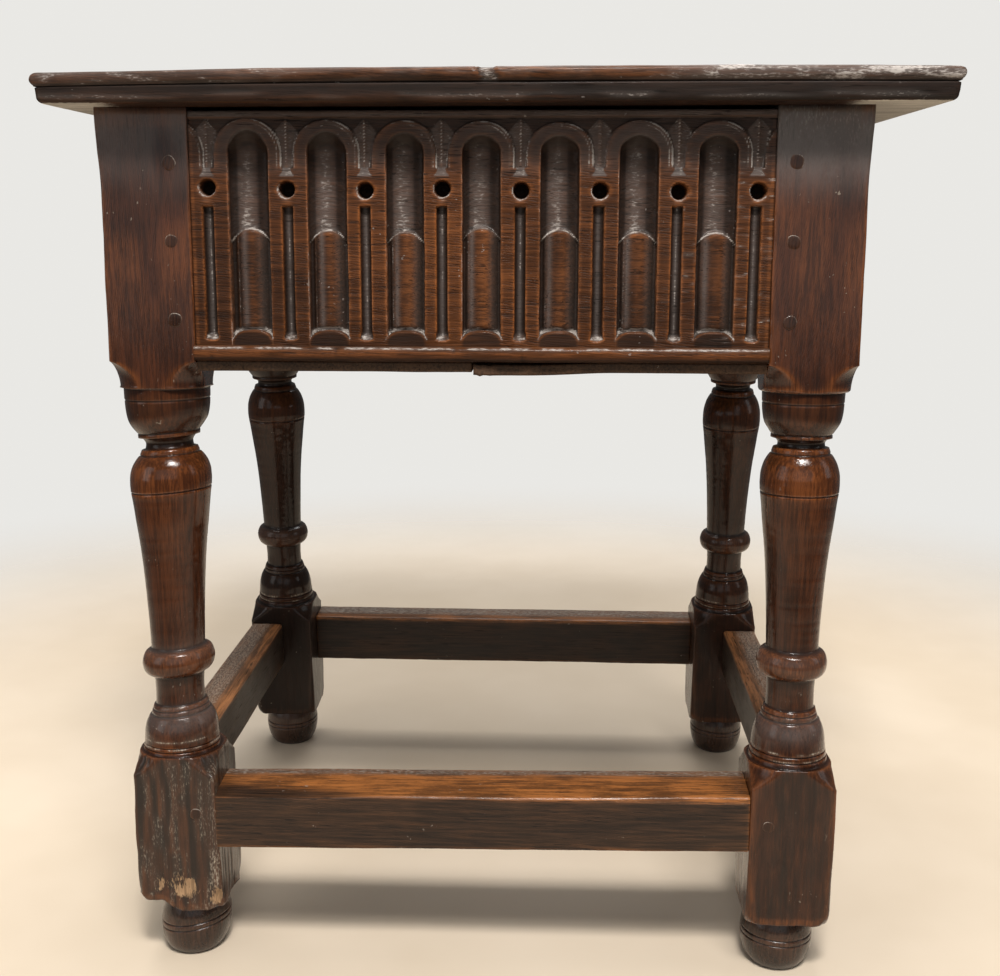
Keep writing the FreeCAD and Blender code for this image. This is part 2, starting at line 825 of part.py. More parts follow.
def hinge_cuts():
    """Square holes for the hinge shanks in the back rail, and the shanks and let-in tails in the lid."""
    behind, height = pin_line()
    half = hinge_wire / 2
    rail_cuts = []
    lid_cuts = []
    for x in hinge_places():
        rail_cuts.append(block(x - half, x + half, 0, behind, height - half, height + half))
        lid_cuts.append(lid_loop(x))
    return rail_cuts, lid_cuts


def save(name, shapes):
    """Write one piece, or a group of like pieces, to its own file."""
    shape = shapes[0] if len(shapes) == 1 else Part.makeCompound(shapes)
    if len(shapes) == 1 and len(shape.Solids) == 1:
        shape = shape.Solids[0]
    shape.exportStep("parts/" + name + ".step")


def build():
    """Make every piece in place and write it out."""
    os.makedirs("parts", exist_ok=True)

    rail_pegs = {name: end_pegs("rail", rail_peg_diameter, back) for name, back in ends.items()}
    rail_pegs.update({name: side_pegs("rail", rail_peg_diameter, side) for name, side in sides.items()})
    stretcher_pegs = []
    for back in ends.values():
        stretcher_pegs += end_pegs("stretcher", stretcher_peg_diameter, back)
    for side in sides.values():
        stretcher_pegs += side_pegs("stretcher", stretcher_peg_diameter, side)
    all_pegs = sum(rail_pegs.values(), []) + stretcher_pegs
    nails = [nail(x, y) for x, y in nail_places()]
    rail_cuts, lid_cuts = hinge_cuts()

    for name, back in ends.items():
        for side_name, side in sides.items():
            turn = -side if back else side
            shape = leg(turn, back).cut(mortises(side, back)).cut(all_pegs)
            save(name + "_" + side_name + "_leg", [shape])
            save(name + "_" + side_name + "_foot", [foot(turn, back)])
        rail = end_rail(back).cut(rail_pegs[name]).cut(nails)
        if back:
            rail = rail.cut(rail_cuts)
        save(name + "_rail", [rail])
        save(name + "_bead", [end_bead(back)])
        save(name + "_rail_pegs", rail_pegs[name])
    save("front_stretcher", [front_stretcher().cut(stretcher_pegs)])
    save("back_stretcher", [back_stretcher().cut(stretcher_pegs)])
    for name, side in sides.items():
        save(name + "_rail", [side_rail(side).cut(rail_pegs[name]).cut(nails)])
        save(name + "_bead", [side_bead(side)])
        save(name + "_rail_pegs", rail_pegs[name])
        save(name + "_stretcher", [side_stretcher(side).cut(stretcher_pegs)])
        save(name + "_bottom_board", [bottom_board(side).cut(nails)])
    save("stretcher_pegs", stretcher_pegs)
    save("bottom_nails", nails)
    save("lid_board", [lid_board().cut(lid_cuts)])
    save("lid_hinge_loops", [lid_loop(x) for x in hinge_places()])
    save("rail_hinge_eyes", [rail_eye(x) for x in hinge_places()])


build()
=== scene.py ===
"""Looks of the joined oak box stool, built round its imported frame.

Shapes are worked out in millimetres on numpy grids and set down in the frame's metres.
Front and back pieces are drawn upright, as a joiner sets them out: x from the middle of
the frame, y inwards from the outer faces of the legs and z up from the underside of the
lid. They are then leaned out at the foot.
"""

import json
import math

import bpy
import numpy as np
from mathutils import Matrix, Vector


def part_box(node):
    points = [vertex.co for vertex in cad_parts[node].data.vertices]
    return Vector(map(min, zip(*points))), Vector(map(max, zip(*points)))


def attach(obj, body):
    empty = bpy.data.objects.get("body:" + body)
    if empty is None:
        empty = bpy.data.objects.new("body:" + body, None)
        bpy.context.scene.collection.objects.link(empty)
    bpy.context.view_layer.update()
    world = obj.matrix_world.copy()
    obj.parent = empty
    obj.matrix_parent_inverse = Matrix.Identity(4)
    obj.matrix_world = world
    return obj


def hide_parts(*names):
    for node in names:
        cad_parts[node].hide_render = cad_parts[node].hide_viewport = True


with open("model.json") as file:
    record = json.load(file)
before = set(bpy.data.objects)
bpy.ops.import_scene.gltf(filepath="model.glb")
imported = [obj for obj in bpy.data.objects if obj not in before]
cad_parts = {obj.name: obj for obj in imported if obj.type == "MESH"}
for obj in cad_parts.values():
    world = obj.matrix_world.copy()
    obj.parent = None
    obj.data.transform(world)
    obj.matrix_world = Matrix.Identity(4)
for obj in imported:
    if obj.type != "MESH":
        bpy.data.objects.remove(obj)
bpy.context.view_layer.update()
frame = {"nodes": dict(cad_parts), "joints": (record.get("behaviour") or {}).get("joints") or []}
mm = 0.001


def box(node):
    """Lowest and highest corner of a piece of the frame, in millimetres."""
    low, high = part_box(node)
    return np.array(low) / mm, np.array(high) / mm


# Sizes taken from the frame
lid_low, lid_high = box("lid_board")
leg_low, leg_high = box("front_left_leg")
rail_low, rail_high = box("left_rail")
tie_low, tie_high = box("left_stretcher")
leg_square = leg_high[0] - leg_low[0]
frame_right = box("front_right_leg")[1][0]
frame_width = frame_right - leg_low[0]
frame_middle = (frame_right + leg_low[0]) / 2
leg_top = lid_low[2]
rail_bottom, rail_top = rail_low[2], rail_high[2]
rail_height = rail_top - rail_bottom
rail_thickness = rail_high[0] - rail_low[0]
tie_bottom, tie_top = tie_low[2], tie_high[2]
tie_thickness = tie_high[0] - tie_low[0]
rail_span = frame_width - 2 * leg_square
half_square = leg_square / 2

# Sizes that the frame's boxes do not show
frame_depth = 322.0
leg_splay = 29.0
rail_setback = 1.0
tie_setback = 0.6
front_tie_thickness = 36.0
foot_height = 37.0
block_end = 376.0
lower_block_top = 141.0
upper_arch_height = 17.0
lower_arch_height = 12.5
bead_height = 9.2
bead_projection = 5.5
peg_inset = 11.5
tenon_setback = 12.0
rail_tenon_thickness = 8.0
rail_tenon_foot = 6.0
rail_tenon_haunch = 18.0
rail_tenon_length = 31.0
tie_tenon_thickness = 11.0
tie_tenon_shoulder = 4.0
tie_tenon_length = 28.0
rail_peg_radius = 4.2
tie_peg_radius = 3.7
joint_gap = 0.12

lean = math.atan(leg_splay / leg_top)
slope = math.tan(lean)
slant = math.cos(lean)


def along(height):
    """Place along a leg, from its top, of a point at a height above the floor."""
    return -(leg_top - height) / slant


def face_at(height):
    """Outer faces of the front or back legs, from the middle of the stool, at a height."""
    return frame_depth / 2 + (leg_top - height) * slope


def inner_face_at(height):
    """Inner faces of the front or back legs, from the middle of the stool, at a height."""
    return face_at(height) - leg_square / slant


def stand(points, back):
    """Lean an upright drawing out at its foot, about the front edge of the leg tops.

    y' = y cos + z sin - depth / 2 and z' = z cos - y sin + top. The back is the front
    turned half round.
    """
    x, y, z = points[..., 0], points[..., 1], points[..., 2]
    turn = -1 if back else 1
    out = y * slant + z * math.sin(lean) - frame_depth / 2
    up = z * slant - y * math.sin(lean) + leg_top
    return np.stack([frame_middle + turn * x, turn * out, up], -1)


# Arithmetic of surfaces


def ramp(value, width):
    """Smooth step from 0 to 1 over a width centred on zero: 3t^2 - 2t^3."""
    t = np.clip(value / width + 0.5, 0, 1)
    return t * t * (3 - 2 * t)


def hill(value, width):
    """Bell of height 1 about zero: exp(-(value / width)^2)."""
    return np.exp(-((value / width) ** 2))


def noise(points, size, seed):
    """Smooth random field from -1 to 1: random values at the corners of cubes, blended between."""
    cell = points / np.asarray(size, float) + np.array([17.13, 5.71, 9.37]) * seed
    base = np.floor(cell)
    part = cell - base
    part = part * part * (3 - 2 * part)
    base = base.astype(np.int64)
    total = np.zeros(points.shape[:-1])
    for corner in range(8):
        step = np.array([corner & 1, corner >> 1 & 1, corner >> 2 & 1])
        key = (base + step) @ np.array([73856093, 19349663, 83492791])
        key = (key ^ (key >> 13)) * 1274126177 & 0x7FFFFFFF
        value = ((key ^ (key >> 16)) & 0xFFFF) / 32767.5 - 1
        total += value * np.prod(np.where(step == 1, part, 1 - part), axis=-1)
    return total


def graded(low, high, count, density):
    """Places between two ends, crowded where a density is high: its running sum, turned round."""
    fine = np.linspace(low, high, 6000)
    run = np.concatenate([[0], np.cumsum((density(fine[1:]) + density(fine[:-1])) / 2)])
    return np.interp(np.linspace(0, run[-1], count), run, fine)


def smoothed(values, passes):
    """Rows and columns averaged with their neighbours as 1-2-1. The columns close on themselves."""
    for _ in range(passes):
        values = (np.roll(values, 1, 1) + 2 * values + np.roll(values, -1, 1)) / 4
        padded = np.concatenate([values[:1], values, values[-1:]])
        values = (padded[:-2] + 2 * padded[1:-1] + padded[2:]) / 4
    return values


# Making pieces


def tube_faces(rows, columns):
    """Quads of a grid whose columns close on themselves, with a fan to a middle point at each end."""
    index = np.arange(rows * columns).reshape(rows, columns)
    after = np.roll(index, -1, axis=1)
    quads = np.stack([index[:-1], index[1:], after[1:], after[:-1]], -1).reshape(-1, 4)
    first = np.full(columns, rows * columns)
    fans = np.concatenate(
        [
            np.stack([first, index[0], after[0]], -1),
            np.stack([first + 1, after[-1], index[-1]], -1),
        ]
    )
    return quads, fans


def volume_of(points, quads, fans):
    """Six times the enclosed volume, with its sign: the sum of a . (b x c) over the triangles."""
    triangles = np.concatenate([quads[:, [0, 1, 2]], quads[:, [0, 2, 3]], fans])
    a, b, c = (points[triangles[:, k]] for k in range(3))
    return np.einsum("ij,ij->", a - points.mean(0), np.cross(b - points.mean(0), c - points.mean(0)))


def hand_marks(points, sign, reach):
    """How far each place stands out of (+) or lies in (-) the average of its surroundings, in millimetres."""
    down = np.gradient(points, axis=0)
    across = np.roll(points, -1, 1) - np.roll(points, 1, 1)
    normal = np.cross(down, across) * sign
    normal /= np.linalg.norm(normal, axis=-1, keepdims=True) + 1e-12
    return np.einsum("ijk,ijk->ij", points - smoothed(points, reach), normal)


class Piece:
    """Closed surfaces gathered into one mesh, with a value of each mark at every vertex.

    A place is fully rubbed or darkened where it stands out or lies in by full_mark millimetres. The marks are
    rubbing, grime with painted shade, dust with painted highlights, dry bare wood, and painted sheen with
    greying.
    """

    marks = ("rub", "soot", "dust", "dry", "haze")
    full_mark = 0.35

    def __init__(self, name):
        self.name = name
        self.points, self.quads, self.fans = [], [], []
        self.values = {mark: [] for mark in self.marks}
        self.count = 0

    def tube(self, points, reach=10, wear=1.0, **marks):
        """Add a tube of rows and closed columns, capped by fans.

        Edges that stand out are rubbed and hollows are darkened.
        """
        rows, columns = points.shape[:2]
        quads, fans = tube_faces(rows, columns)
        flat = np.concatenate([points.reshape(-1, 3), points[0].mean(0)[None], points[-1].mean(0)[None]])
        sign = 1 if volume_of(flat, quads, fans) > 0 else -1
        if sign < 0:
            quads, fans = quads[:, ::-1], fans[:, ::-1]
        out = hand_marks(points, sign, reach)
        given = {}
        for mark in self.marks:
            given[mark] = np.broadcast_to(marks.get(mark, 0.0), (rows, columns)).astype(float)
        given["rub"] = given["rub"] + wear * np.clip(out / self.full_mark, 0, 1)
        given["soot"] = given["soot"] + wear * np.clip(-out / self.full_mark, 0, 1)
        for mark in self.marks:
            grid = np.clip(given[mark], 0, 1)
            ends = [grid[0].mean(), grid[-1].mean()]
            self.values[mark].append(np.concatenate([grid.ravel(), ends]))
        self.points.append(flat)
        self.quads.append(quads + self.count)
        self.fans.append(fans + self.count)
        self.count += len(flat)

    def finish(self, body, material, replaced, slot):
        """Put the mesh down in metres, with its marks, and let it ride on its body."""
        mesh = bpy.data.meshes.new(self.name)
        points = np.concatenate(self.points) * mm
        quads, fans = np.concatenate(self.quads), np.concatenate(self.fans)
        loops = np.concatenate([quads.ravel(), fans.ravel()])
        starts = np.concatenate([np.arange(len(quads)) * 4, len(quads) * 4 + np.arange(len(fans)) * 3])
        mesh.vertices.add(len(points))
        mesh.vertices.foreach_set("co", points.astype(np.float32).ravel())
        mesh.loops.add(len(loops))
        mesh.loops.foreach_set("vertex_index", loops.astype(np.int32))
        mesh.polygons.add(len(starts))
        mesh.polygons.foreach_set("loop_start", starts.astype(np.int32))
        mesh.polygons.foreach_set("use_smooth", np.ones(len(starts), bool))
        mesh.update(calc_edges=True)
        mesh.validate()
        for mark in self.marks:
            layer = mesh.attributes.new(mark, "FLOAT", "POINT")
            layer.data.foreach_set("value", np.concatenate(self.values[mark]).astype(np.float32))
        mesh.materials.append(material)
        piece = bpy.data.objects.new(self.name, mesh)
        bpy.context.scene.collection.objects.link(piece)
        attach(piece, body)
        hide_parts(*replaced)


# Shader node groups. Colours are linear.

# Near-black of grime and of painted shade.
grime_and_shade_black = (0.011, 0.009, 0.008, 1)
# Grey of painted sheen and of greyed wood.
haze_grey = (0.105, 0.086, 0.079, 1)
pore_black = (0.007, 0.005, 0.004, 1)
bump_distance = 0.0006
grain_outputs = ("Figure", "Streaks", "Lines", "Pores", "Patches", "Nicks", "Specks")


class Nodes:
    """Shorthand for placing and joining the nodes of one tree."""

    def __init__(self, tree):
        self.tree = tree

    def add(self, kind, **settings):
        node = self.tree.nodes.new(kind)
        for name, value in settings.items():
            setattr(node, name, value)
        return node

    def link(self, source, target):
        self.tree.links.new(source, target)

    def fill(self, socket, value):
        if isinstance(value, bpy.types.NodeSocket):
            self.link(value, socket)
        else:
            socket.default_value = value

    def math(self, operation, a, b, clamp=False):
        node = self.add("ShaderNodeMath", operation=operation, use_clamp=clamp)
        self.fill(node.inputs[0], a)
        self.fill(node.inputs[1], b)
        return node.outputs[0]

    def plus(self, a, b, clamp=False):
        return self.math("ADD", a, b, clamp)

    def minus(self, a, b, clamp=False):
        return self.math("SUBTRACT", a, b, clamp)

    def times(self, a, b, clamp=False):
        return self.math("MULTIPLY", a, b, clamp)

    def spread(self, value, low, high, to_low=0.0, to_high=1.0):
        """Map a value from one span to another with soft ends."""
        node = self.add("ShaderNodeMapRange", interpolation_type="SMOOTHSTEP")
        for index, item in enumerate((value, low, high, to_low, to_high)):
            self.fill(node.inputs[index], item)
        return node.outputs[0]

    def mix(self, share, a, b, blend="MIX"):
        node = self.add("ShaderNodeMix", data_type="RGBA", blend_type=blend)
        self.fill(node.inputs[0], share)
        self.fill(node.inputs[6], a)
        self.fill(node.inputs[7], b)
        return node.outputs[2]

    def grain(self, vector, stretch, scale, detail=3.0, roughness=0.55, distortion=0.0):
        """Noise drawn out along x by a stretch."""
        node = self.add("ShaderNodeMapping")
        self.link(vector, node.inputs["Vector"])
        node.inputs["Scale"].default_value = (1 / stretch, 1, 1)
        field = self.add("ShaderNodeTexNoise")
        self.link(node.outputs[0], field.inputs["Vector"])
        field.inputs["Scale"].default_value = scale
        field.inputs["Detail"].default_value = detail
        field.inputs["Roughness"].default_value = roughness
        field.inputs["Distortion"].default_value = distortion
        return field.outputs["Fac"]


def new_group(name, inputs, outputs):
    """Empty node group with named sockets."""
    group = bpy.data.node_groups.new(name, "ShaderNodeTree")
    for label, kind, value in inputs:
        socket = group.interface.new_socket(label, in_out="INPUT", socket_type=kind)
        if value is not None:
            socket.default_value = value
    for label, kind in outputs:
        group.interface.new_socket(label, in_out="OUTPUT", socket_type=kind)
    nodes = Nodes(group)
    start = nodes.add("NodeGroupInput")
    end = nodes.add("NodeGroupOutput")
    return group, nodes, start.outputs, end.inputs


def oak_grain_group():
    """Grain along x: broad figure, fine streaks, dark year lines, open pores, worn patches and nicks."""
    value = "NodeSocketFloat"
    group, n, given, out = new_group(
        "oak_grain",
        [("Place", "NodeSocketVector", None), ("Line scale", value, 340.0), ("Pore share", value, 0.5)],
        [(label, value) for label in grain_outputs],
    )
    place = given["Place"]
    n.link(n.spread(n.grain(place, 9, 34, 3, 0.6, 0.6), 0.34, 0.68), out["Figure"])
    n.link(n.spread(n.grain(place, 22, 640, 3, 0.62), 0.3, 0.7), out["Streaks"])
    drawn = n.add("ShaderNodeMapping")
    n.link(place, drawn.inputs["Vector"])
    drawn.inputs["Scale"].default_value = (0.12, 1, 1)
    wave = n.add("ShaderNodeTexWave", wave_type="BANDS", bands_direction="DIAGONAL")
    n.link(drawn.outputs[0], wave.inputs["Vector"])
    n.link(given["Line scale"], wave.inputs["Scale"])
    settings = (("Distortion", 7.0), ("Detail", 4.0), ("Detail Scale", 0.5), ("Detail Roughness", 0.7))
    for label, amount in settings:
        wave.inputs[label].default_value = amount
    lines = n.spread(wave.outputs["Fac"], 0.0, 0.34, 1.0, 0.0)
    gate = n.spread(n.grain(place, 7, 150, 3, 0.6), 0.36, 0.62, 0.15, 1.0)
    n.link(n.times(lines, gate), out["Lines"])
    pores = n.spread(n.grain(place, 16, 900, 2, 0.5), 0.61, 0.66)
    pores = n.times(pores, n.spread(n.grain(place, 6, 60, 2, 0.5), 0.36, 0.6))
    n.link(n.times(pores, given["Pore share"]), out["Pores"])
    n.link(n.spread(n.grain(place, 1.6, 26, 5, 0.62), 0.36, 0.66), out["Patches"])
    n.link(n.grain(place, 3.2, 1100, 3, 0.6), out["Specks"])
    nicks = n.spread(n.grain(place, 1.5, 420, 2, 0.5), 0.7, 0.73)
    n.link(n.times(nicks, n.spread(n.grain(place, 1, 38, 2, 0.5), 0.52, 0.66)), out["Nicks"])
    return group


def oak_patina_group():
    """Colour, roughness and height of old waxed oak, from its grain and the marks on the piece, which include
    painted shade, sheen and highlights.
    """
    colour, value = "NodeSocketColor", "NodeSocketFloat"
    group, n, given, out = new_group(
        "oak_patina",
        [(label, value, 0.0) for label in grain_outputs]
        + [(mark.capitalize(), value, 0.0) for mark in Piece.marks]
        + [(label, colour, (0.1, 0.1, 0.1, 1)) for label in ("Deep", "Warm", "Rubbed", "Dusty", "Bare")]
        + [("Warmth", value, 0.5), ("Streak depth", value, 0.35), ("Line depth", value, 0.5)]
        + [("Gloss", value, 0.3), ("Full wax", value, 0.3)],
        [("Colour", colour), ("Roughness", value), ("Wax", value), ("Height", value)],
    )
    body = n.plus(n.times(given["Figure"], 0.4), n.times(given["Patches"], 0.4))
    body = n.plus(body, n.times(given["Streaks"], 0.2))
    body = n.plus(body, n.minus(given["Warmth"], 0.5), clamp=True)
    base = n.mix(body, given["Deep"], given["Warm"])
    speckled = n.times(n.minus(given["Specks"], 0.5), 1.5)
    ragged = n.times(n.plus(given["Patches"], given["Streaks"]), 0.5)
    ragged = n.plus(ragged, n.times(speckled, 0.5))
    rub = n.times(given["Rub"], n.spread(ragged, 0.15, 0.75, 0.35, 1.0), clamp=True)
    base = n.mix(rub, base, given["Rubbed"])
    swing = n.times(n.minus(given["Streaks"], 0.5), given["Streak depth"])
    swing = n.times(swing, n.minus(1.0, n.times(given["Rub"], 0.6)))
    base = n.mix(1.0, base, n.plus(1.0, n.times(swing, 2.0)), "MULTIPLY")
    smooth = n.plus(n.times(given["Rub"], 0.55), n.times(given["Soot"], 0.85), clamp=True)
    lines = n.times(given["Lines"], n.minus(1.0, smooth))
    shade = n.times(lines, given["Line depth"])
    base = n.mix(1.0, base, n.minus(1.0, shade), "MULTIPLY")
    # Grime and painted shade darken towards near-black, and painted sheen greys the colour.
    base = n.mix(n.times(given["Soot"], 0.85, clamp=True), base, grime_and_shade_black)
    grey = n.times(given["Haze"], n.spread(n.plus(given["Patches"], speckled), 0, 1.2, 0.7, 1.1))
    base = n.mix(n.times(grey, 1.0, clamp=True), base, haze_grey)
    base = n.mix(n.times(given["Pores"], 0.8, clamp=True), base, pore_black)
    # Dust and painted highlights: pale flecks and a thin even film.
    flecks = n.spread(n.plus(given["Dust"], speckled), 0.3, 0.8)
    dust = n.times(flecks, n.spread(given["Dust"], 0.0, 0.5, 0.0, 1.0))
    dust = n.plus(dust, n.times(given["Dust"], 0.2))
    dust = n.math("MAXIMUM", dust, n.times(given["Nicks"], 0.45))
    base = n.mix(dust, base, given["Dusty"])
    bare = n.mix(1.0, given["Bare"], n.spread(given["Streaks"], 0, 1, 0.6, 1.1), "MULTIPLY")
    eaten = n.spread(n.plus(given["Dry"], n.times(speckled, 0.7)), 0.35, 0.6)
    base = n.mix(eaten, base, bare)
    n.link(base, out["Colour"])
    rough = n.plus(given["Gloss"], n.times(n.minus(given["Patches"], 0.5), 0.14))
    rough = n.plus(rough, n.times(given["Pores"], 0.25))
    rough = n.plus(rough, n.times(dust, 0.3))
    rough = n.plus(rough, n.times(given["Soot"], 0.15))
    rough = n.plus(rough, n.times(eaten, 0.35), clamp=True)
    n.link(rough, out["Roughness"])
    bright = n.minus(1.0, n.times(n.plus(given["Soot"], eaten), 0.4), clamp=True)
    n.link(n.times(bright, given["Full wax"]), out["Wax"])
    height = n.times(given["Streaks"], 0.35)
    height = n.minus(height, given["Pores"])
    height = n.minus(height, n.times(lines, 0.7))
    height = n.plus(height, n.times(given["Figure"], 0.5))
    height = n.plus(height, n.times(given["Specks"], 0.4))
    height = n.minus(height, n.times(given["Nicks"], 0.6))
    n.link(height, out["Height"])
    return group


oak_grain = oak_grain_group()
oak_patina = oak_patina_group()

turn_of_grain = {"x": (0, 0, 0), "y": (0, 0, -math.pi / 2), "z": (0, math.pi / 2, 0)}


def new_material(name):
    """Material with an empty Principled shader."""
    material = bpy.data.materials.new(name)
    material.use_nodes = True
    nodes = Nodes(material.node_tree)
    shader = material.node_tree.nodes["Principled BSDF"]
    return material, nodes, shader


def waxed_oak(name, grain, deep, warm, rubbed, warmth=0.5, gloss=0.3, wax=0.3, **finish):
    """Old oak under wax, with its grain along one axis."""
    material, n, shader = new_material(name)
    place = n.add("ShaderNodeTexCoord").outputs["Object"]
    turned = n.add("ShaderNodeMapping")
    n.link(place, turned.inputs["Vector"])
    turned.inputs["Rotation"].default_value = turn_of_grain[grain]
    figure = n.add("ShaderNodeGroup", node_tree=oak_grain)
    n.link(turned.outputs[0], figure.inputs["Place"])
    figure.inputs["Line scale"].default_value = finish.get("line_scale", 340.0)
    figure.inputs["Pore share"].default_value = finish.get("pores", 0.5)
    patina = n.add("ShaderNodeGroup", node_tree=oak_patina)
    for label in grain_outputs:
        n.link(figure.outputs[label], patina.inputs[label])
    for mark in Piece.marks:
        layer = n.add("ShaderNodeAttribute", attribute_name=mark)
        n.link(layer.outputs["Fac"], patina.inputs[mark.capitalize()])
    dusty, bare = finish.get("dusty", (0.3, 0.26, 0.22)), finish.get("bare", (0.2, 0.128, 0.074))
    colours = {"Deep": deep, "Warm": warm, "Rubbed": rubbed, "Dusty": dusty, "Bare": bare}
    for label, value in colours.items():
        patina.inputs[label].default_value = (*value, 1)
    patina.inputs["Warmth"].default_value = warmth
    patina.inputs["Streak depth"].default_value = finish.get("streak_depth", 0.3)
    patina.inputs["Line depth"].default_value = finish.get("line_depth", 0.45)
    patina.inputs["Gloss"].default_value = gloss
    n.link(patina.outputs["Colour"], shader.inputs["Base Color"])
    n.link(patina.outputs["Roughness"], shader.inputs["Roughness"])
    bump = n.add("ShaderNodeBump")
    bump.inputs["Strength"].default_value = finish.get("relief", 0.25)
    bump.inputs["Distance"].default_value = bump_distance
    n.link(patina.outputs["Height"], bump.inputs["Height"])
    n.link(bump.outputs[0], shader.inputs["Normal"])
    patina.inputs["Full wax"].default_value = wax
    n.link(patina.outputs["Wax"], shader.inputs["Coat Weight"])
    shader.inputs["Specular IOR Level"].default_value = finish.get("shine", 0.25)
    shader.inputs["Coat IOR"].default_value = 1.4
    shader.inputs["Coat Roughness"].default_value = finish.get("wax_blur", 0.14)
    ripple = n.add("ShaderNodeBump")
    ripple.inputs["Strength"].default_value = finish.get("ripple", 0.08)
    ripple.inputs["Distance"].default_value = bump_distance
    n.link(patina.outputs["Height"], ripple.inputs["Height"])
    n.link(ripple.outputs[0], shader.inputs["Coat Normal"])
    return material


def forged_iron():
    """Hand-forged iron with brown rust."""
    material, n, shader = new_material("forged_iron")
    place = n.add("ShaderNodeTexCoord").outputs["Object"]
    patches = n.spread(n.grain(place, 1, 260, 5, 0.65), 0.35, 0.68)
    n.link(n.mix(patches, (0.03, 0.026, 0.024, 1), (0.085, 0.04, 0.022, 1)), shader.inputs["Base Color"])
    n.link(n.spread(patches, 0, 1, 0.42, 0.8), shader.inputs["Roughness"])
    shader.inputs["Metallic"].default_value = 0.45
    bump = n.add("ShaderNodeBump")
    bump.inputs["Strength"].default_value = 0.4
    bump.inputs["Distance"].default_value = 0.0004
    n.link(patches, bump.inputs["Height"])
    n.link(bump.outputs[0], shader.inputs["Normal"])
    return material


leg_oak = waxed_oak(
    "leg_oak", "z", (0.014, 0.005, 0.0028), (0.066, 0.018, 0.0055), (0.19, 0.06, 0.017), 0.5, 0.25, 0.85,
    ripple=0.12, streak_depth=0.22, line_depth=0.34, pores=0.5, line_scale=520.0, wax_blur=0.09, relief=0.26,
    bare=(0.36, 0.23, 0.13), dusty=(0.34, 0.29, 0.23), shine=0.05,
)
rail_oak = waxed_oak(
    "rail_oak", "x", (0.03, 0.0115, 0.005), (0.097, 0.0335, 0.011), (0.3, 0.1, 0.028), 0.54, 0.36, 0.14,
    streak_depth=0.3, line_depth=0.62, pores=0.9, relief=0.45, line_scale=430.0, dusty=(0.37, 0.33, 0.3),
    shine=0.07,
)
side_rail_oak = waxed_oak(
    "side_rail_oak", "y", (0.02, 0.0085, 0.0045), (0.07, 0.024, 0.009), (0.16, 0.055, 0.018), 0.5, 0.32, 0.35,
    line_scale=520.0,
)
tie_oak = waxed_oak(
    "stretcher_oak", "x", (0.026, 0.0125, 0.007), (0.068, 0.031, 0.0135), (0.3, 0.108, 0.028),
    0.42, 0.38, 0.2, pores=1.0, streak_depth=0.5, line_depth=0.7, line_scale=520.0,
)
side_tie_oak = waxed_oak(
    "side_stretcher_oak", "y", (0.026, 0.014, 0.008), (0.08, 0.038, 0.017), (0.38, 0.16, 0.06),
    0.45, 0.4, 0.12, pores=1.0, streak_depth=0.4, line_scale=520.0, dusty=(0.42, 0.33, 0.26),
)
lid_oak = waxed_oak(
    "lid_oak", "x", (0.02, 0.0105, 0.007), (0.066, 0.026, 0.0115), (0.16, 0.055, 0.016), 0.42, 0.42, 0.06,
    pores=0.9, line_scale=460.0, bare=(0.56, 0.52, 0.46), shine=0.1, dusty=(0.44, 0.4, 0.37),
)
board_oak = waxed_oak(
    "board_oak", "y", (0.035, 0.02, 0.011), (0.11, 0.06, 0.031), (0.2, 0.1, 0.05), 0.5, 0.6, 0.0, pores=0.8
)
foot_wood = waxed_oak(
    "foot_wood", "z", (0.012, 0.008, 0.006), (0.036, 0.018, 0.012), (0.1, 0.045, 0.025), 0.4, 0.3, 0.5,
    pores=0.3, streak_depth=0.15,
)
peg_oak = waxed_oak(
    "peg_oak", "z", (0.018, 0.007, 0.004), (0.05, 0.018, 0.008), (0.13, 0.048, 0.016), 0.45, 0.34, 0.3
)
iron = forged_iron()


# Turned legs and feet

corner, bend = 1, 0
leg_turning = (
    (block_end, 27.9, corner), (block_end, 25.7, corner), (372.0, 25.6, bend), (369.4, 25.5, corner),
    (368.8, 24.9, corner), (368.1, 25.4, corner), (362.6, 25.0, bend), (356.5, 23.6, bend),
    (351.2, 20.2, bend), (349.4, 18.4, corner), (349.0, 18.9, corner), (347.4, 18.8, corner),
    (347.0, 16.2, corner), (344.6, 14.3, bend), (341.8, 14.6, corner), (341.2, 17.0, corner),
    (338.6, 17.9, corner), (337.6, 17.6, corner), (336.8, 19.0, corner), (334.6, 20.5, bend),
    (331.0, 22.3, bend), (325.5, 23.8, bend), (319.2, 24.2, bend), (314.0, 24.0, corner),
    (313.3, 23.1, corner), (312.6, 23.8, corner), (306.7, 23.0, bend), (294.0, 21.6, bend),
    (281.3, 20.1, bend), (268.6, 18.9, bend), (255.7, 18.0, bend), (242.8, 17.3, bend),
    (229.8, 16.7, bend), (214.2, 16.2, corner), (213.4, 17.0, corner), (211.8, 19.8, bend),
    (208.6, 21.4, bend), (204.6, 22.0, bend), (200.6, 21.2, bend), (197.9, 19.2, bend),
    (196.6, 16.4, corner), (196.2, 15.2, corner), (187.0, 14.8, bend), (178.0, 15.0, corner),
    (177.4, 16.2, corner), (175.4, 17.0, corner), (174.8, 16.4, corner), (174.2, 17.3, corner),
    (172.4, 17.8, corner), (171.8, 17.3, corner), (170.8, 19.0, corner), (166.5, 21.0, bend),
    (160.4, 22.5, bend), (153.7, 23.2, bend), (151.0, 23.5, corner), (150.2, 22.6, corner),
    (149.4, 23.6, corner), (146.2, 24.0, corner), (145.4, 23.2, corner), (144.6, 24.2, corner),
    (lower_block_top, 25.0, corner), (lower_block_top, 28.2, corner),
)
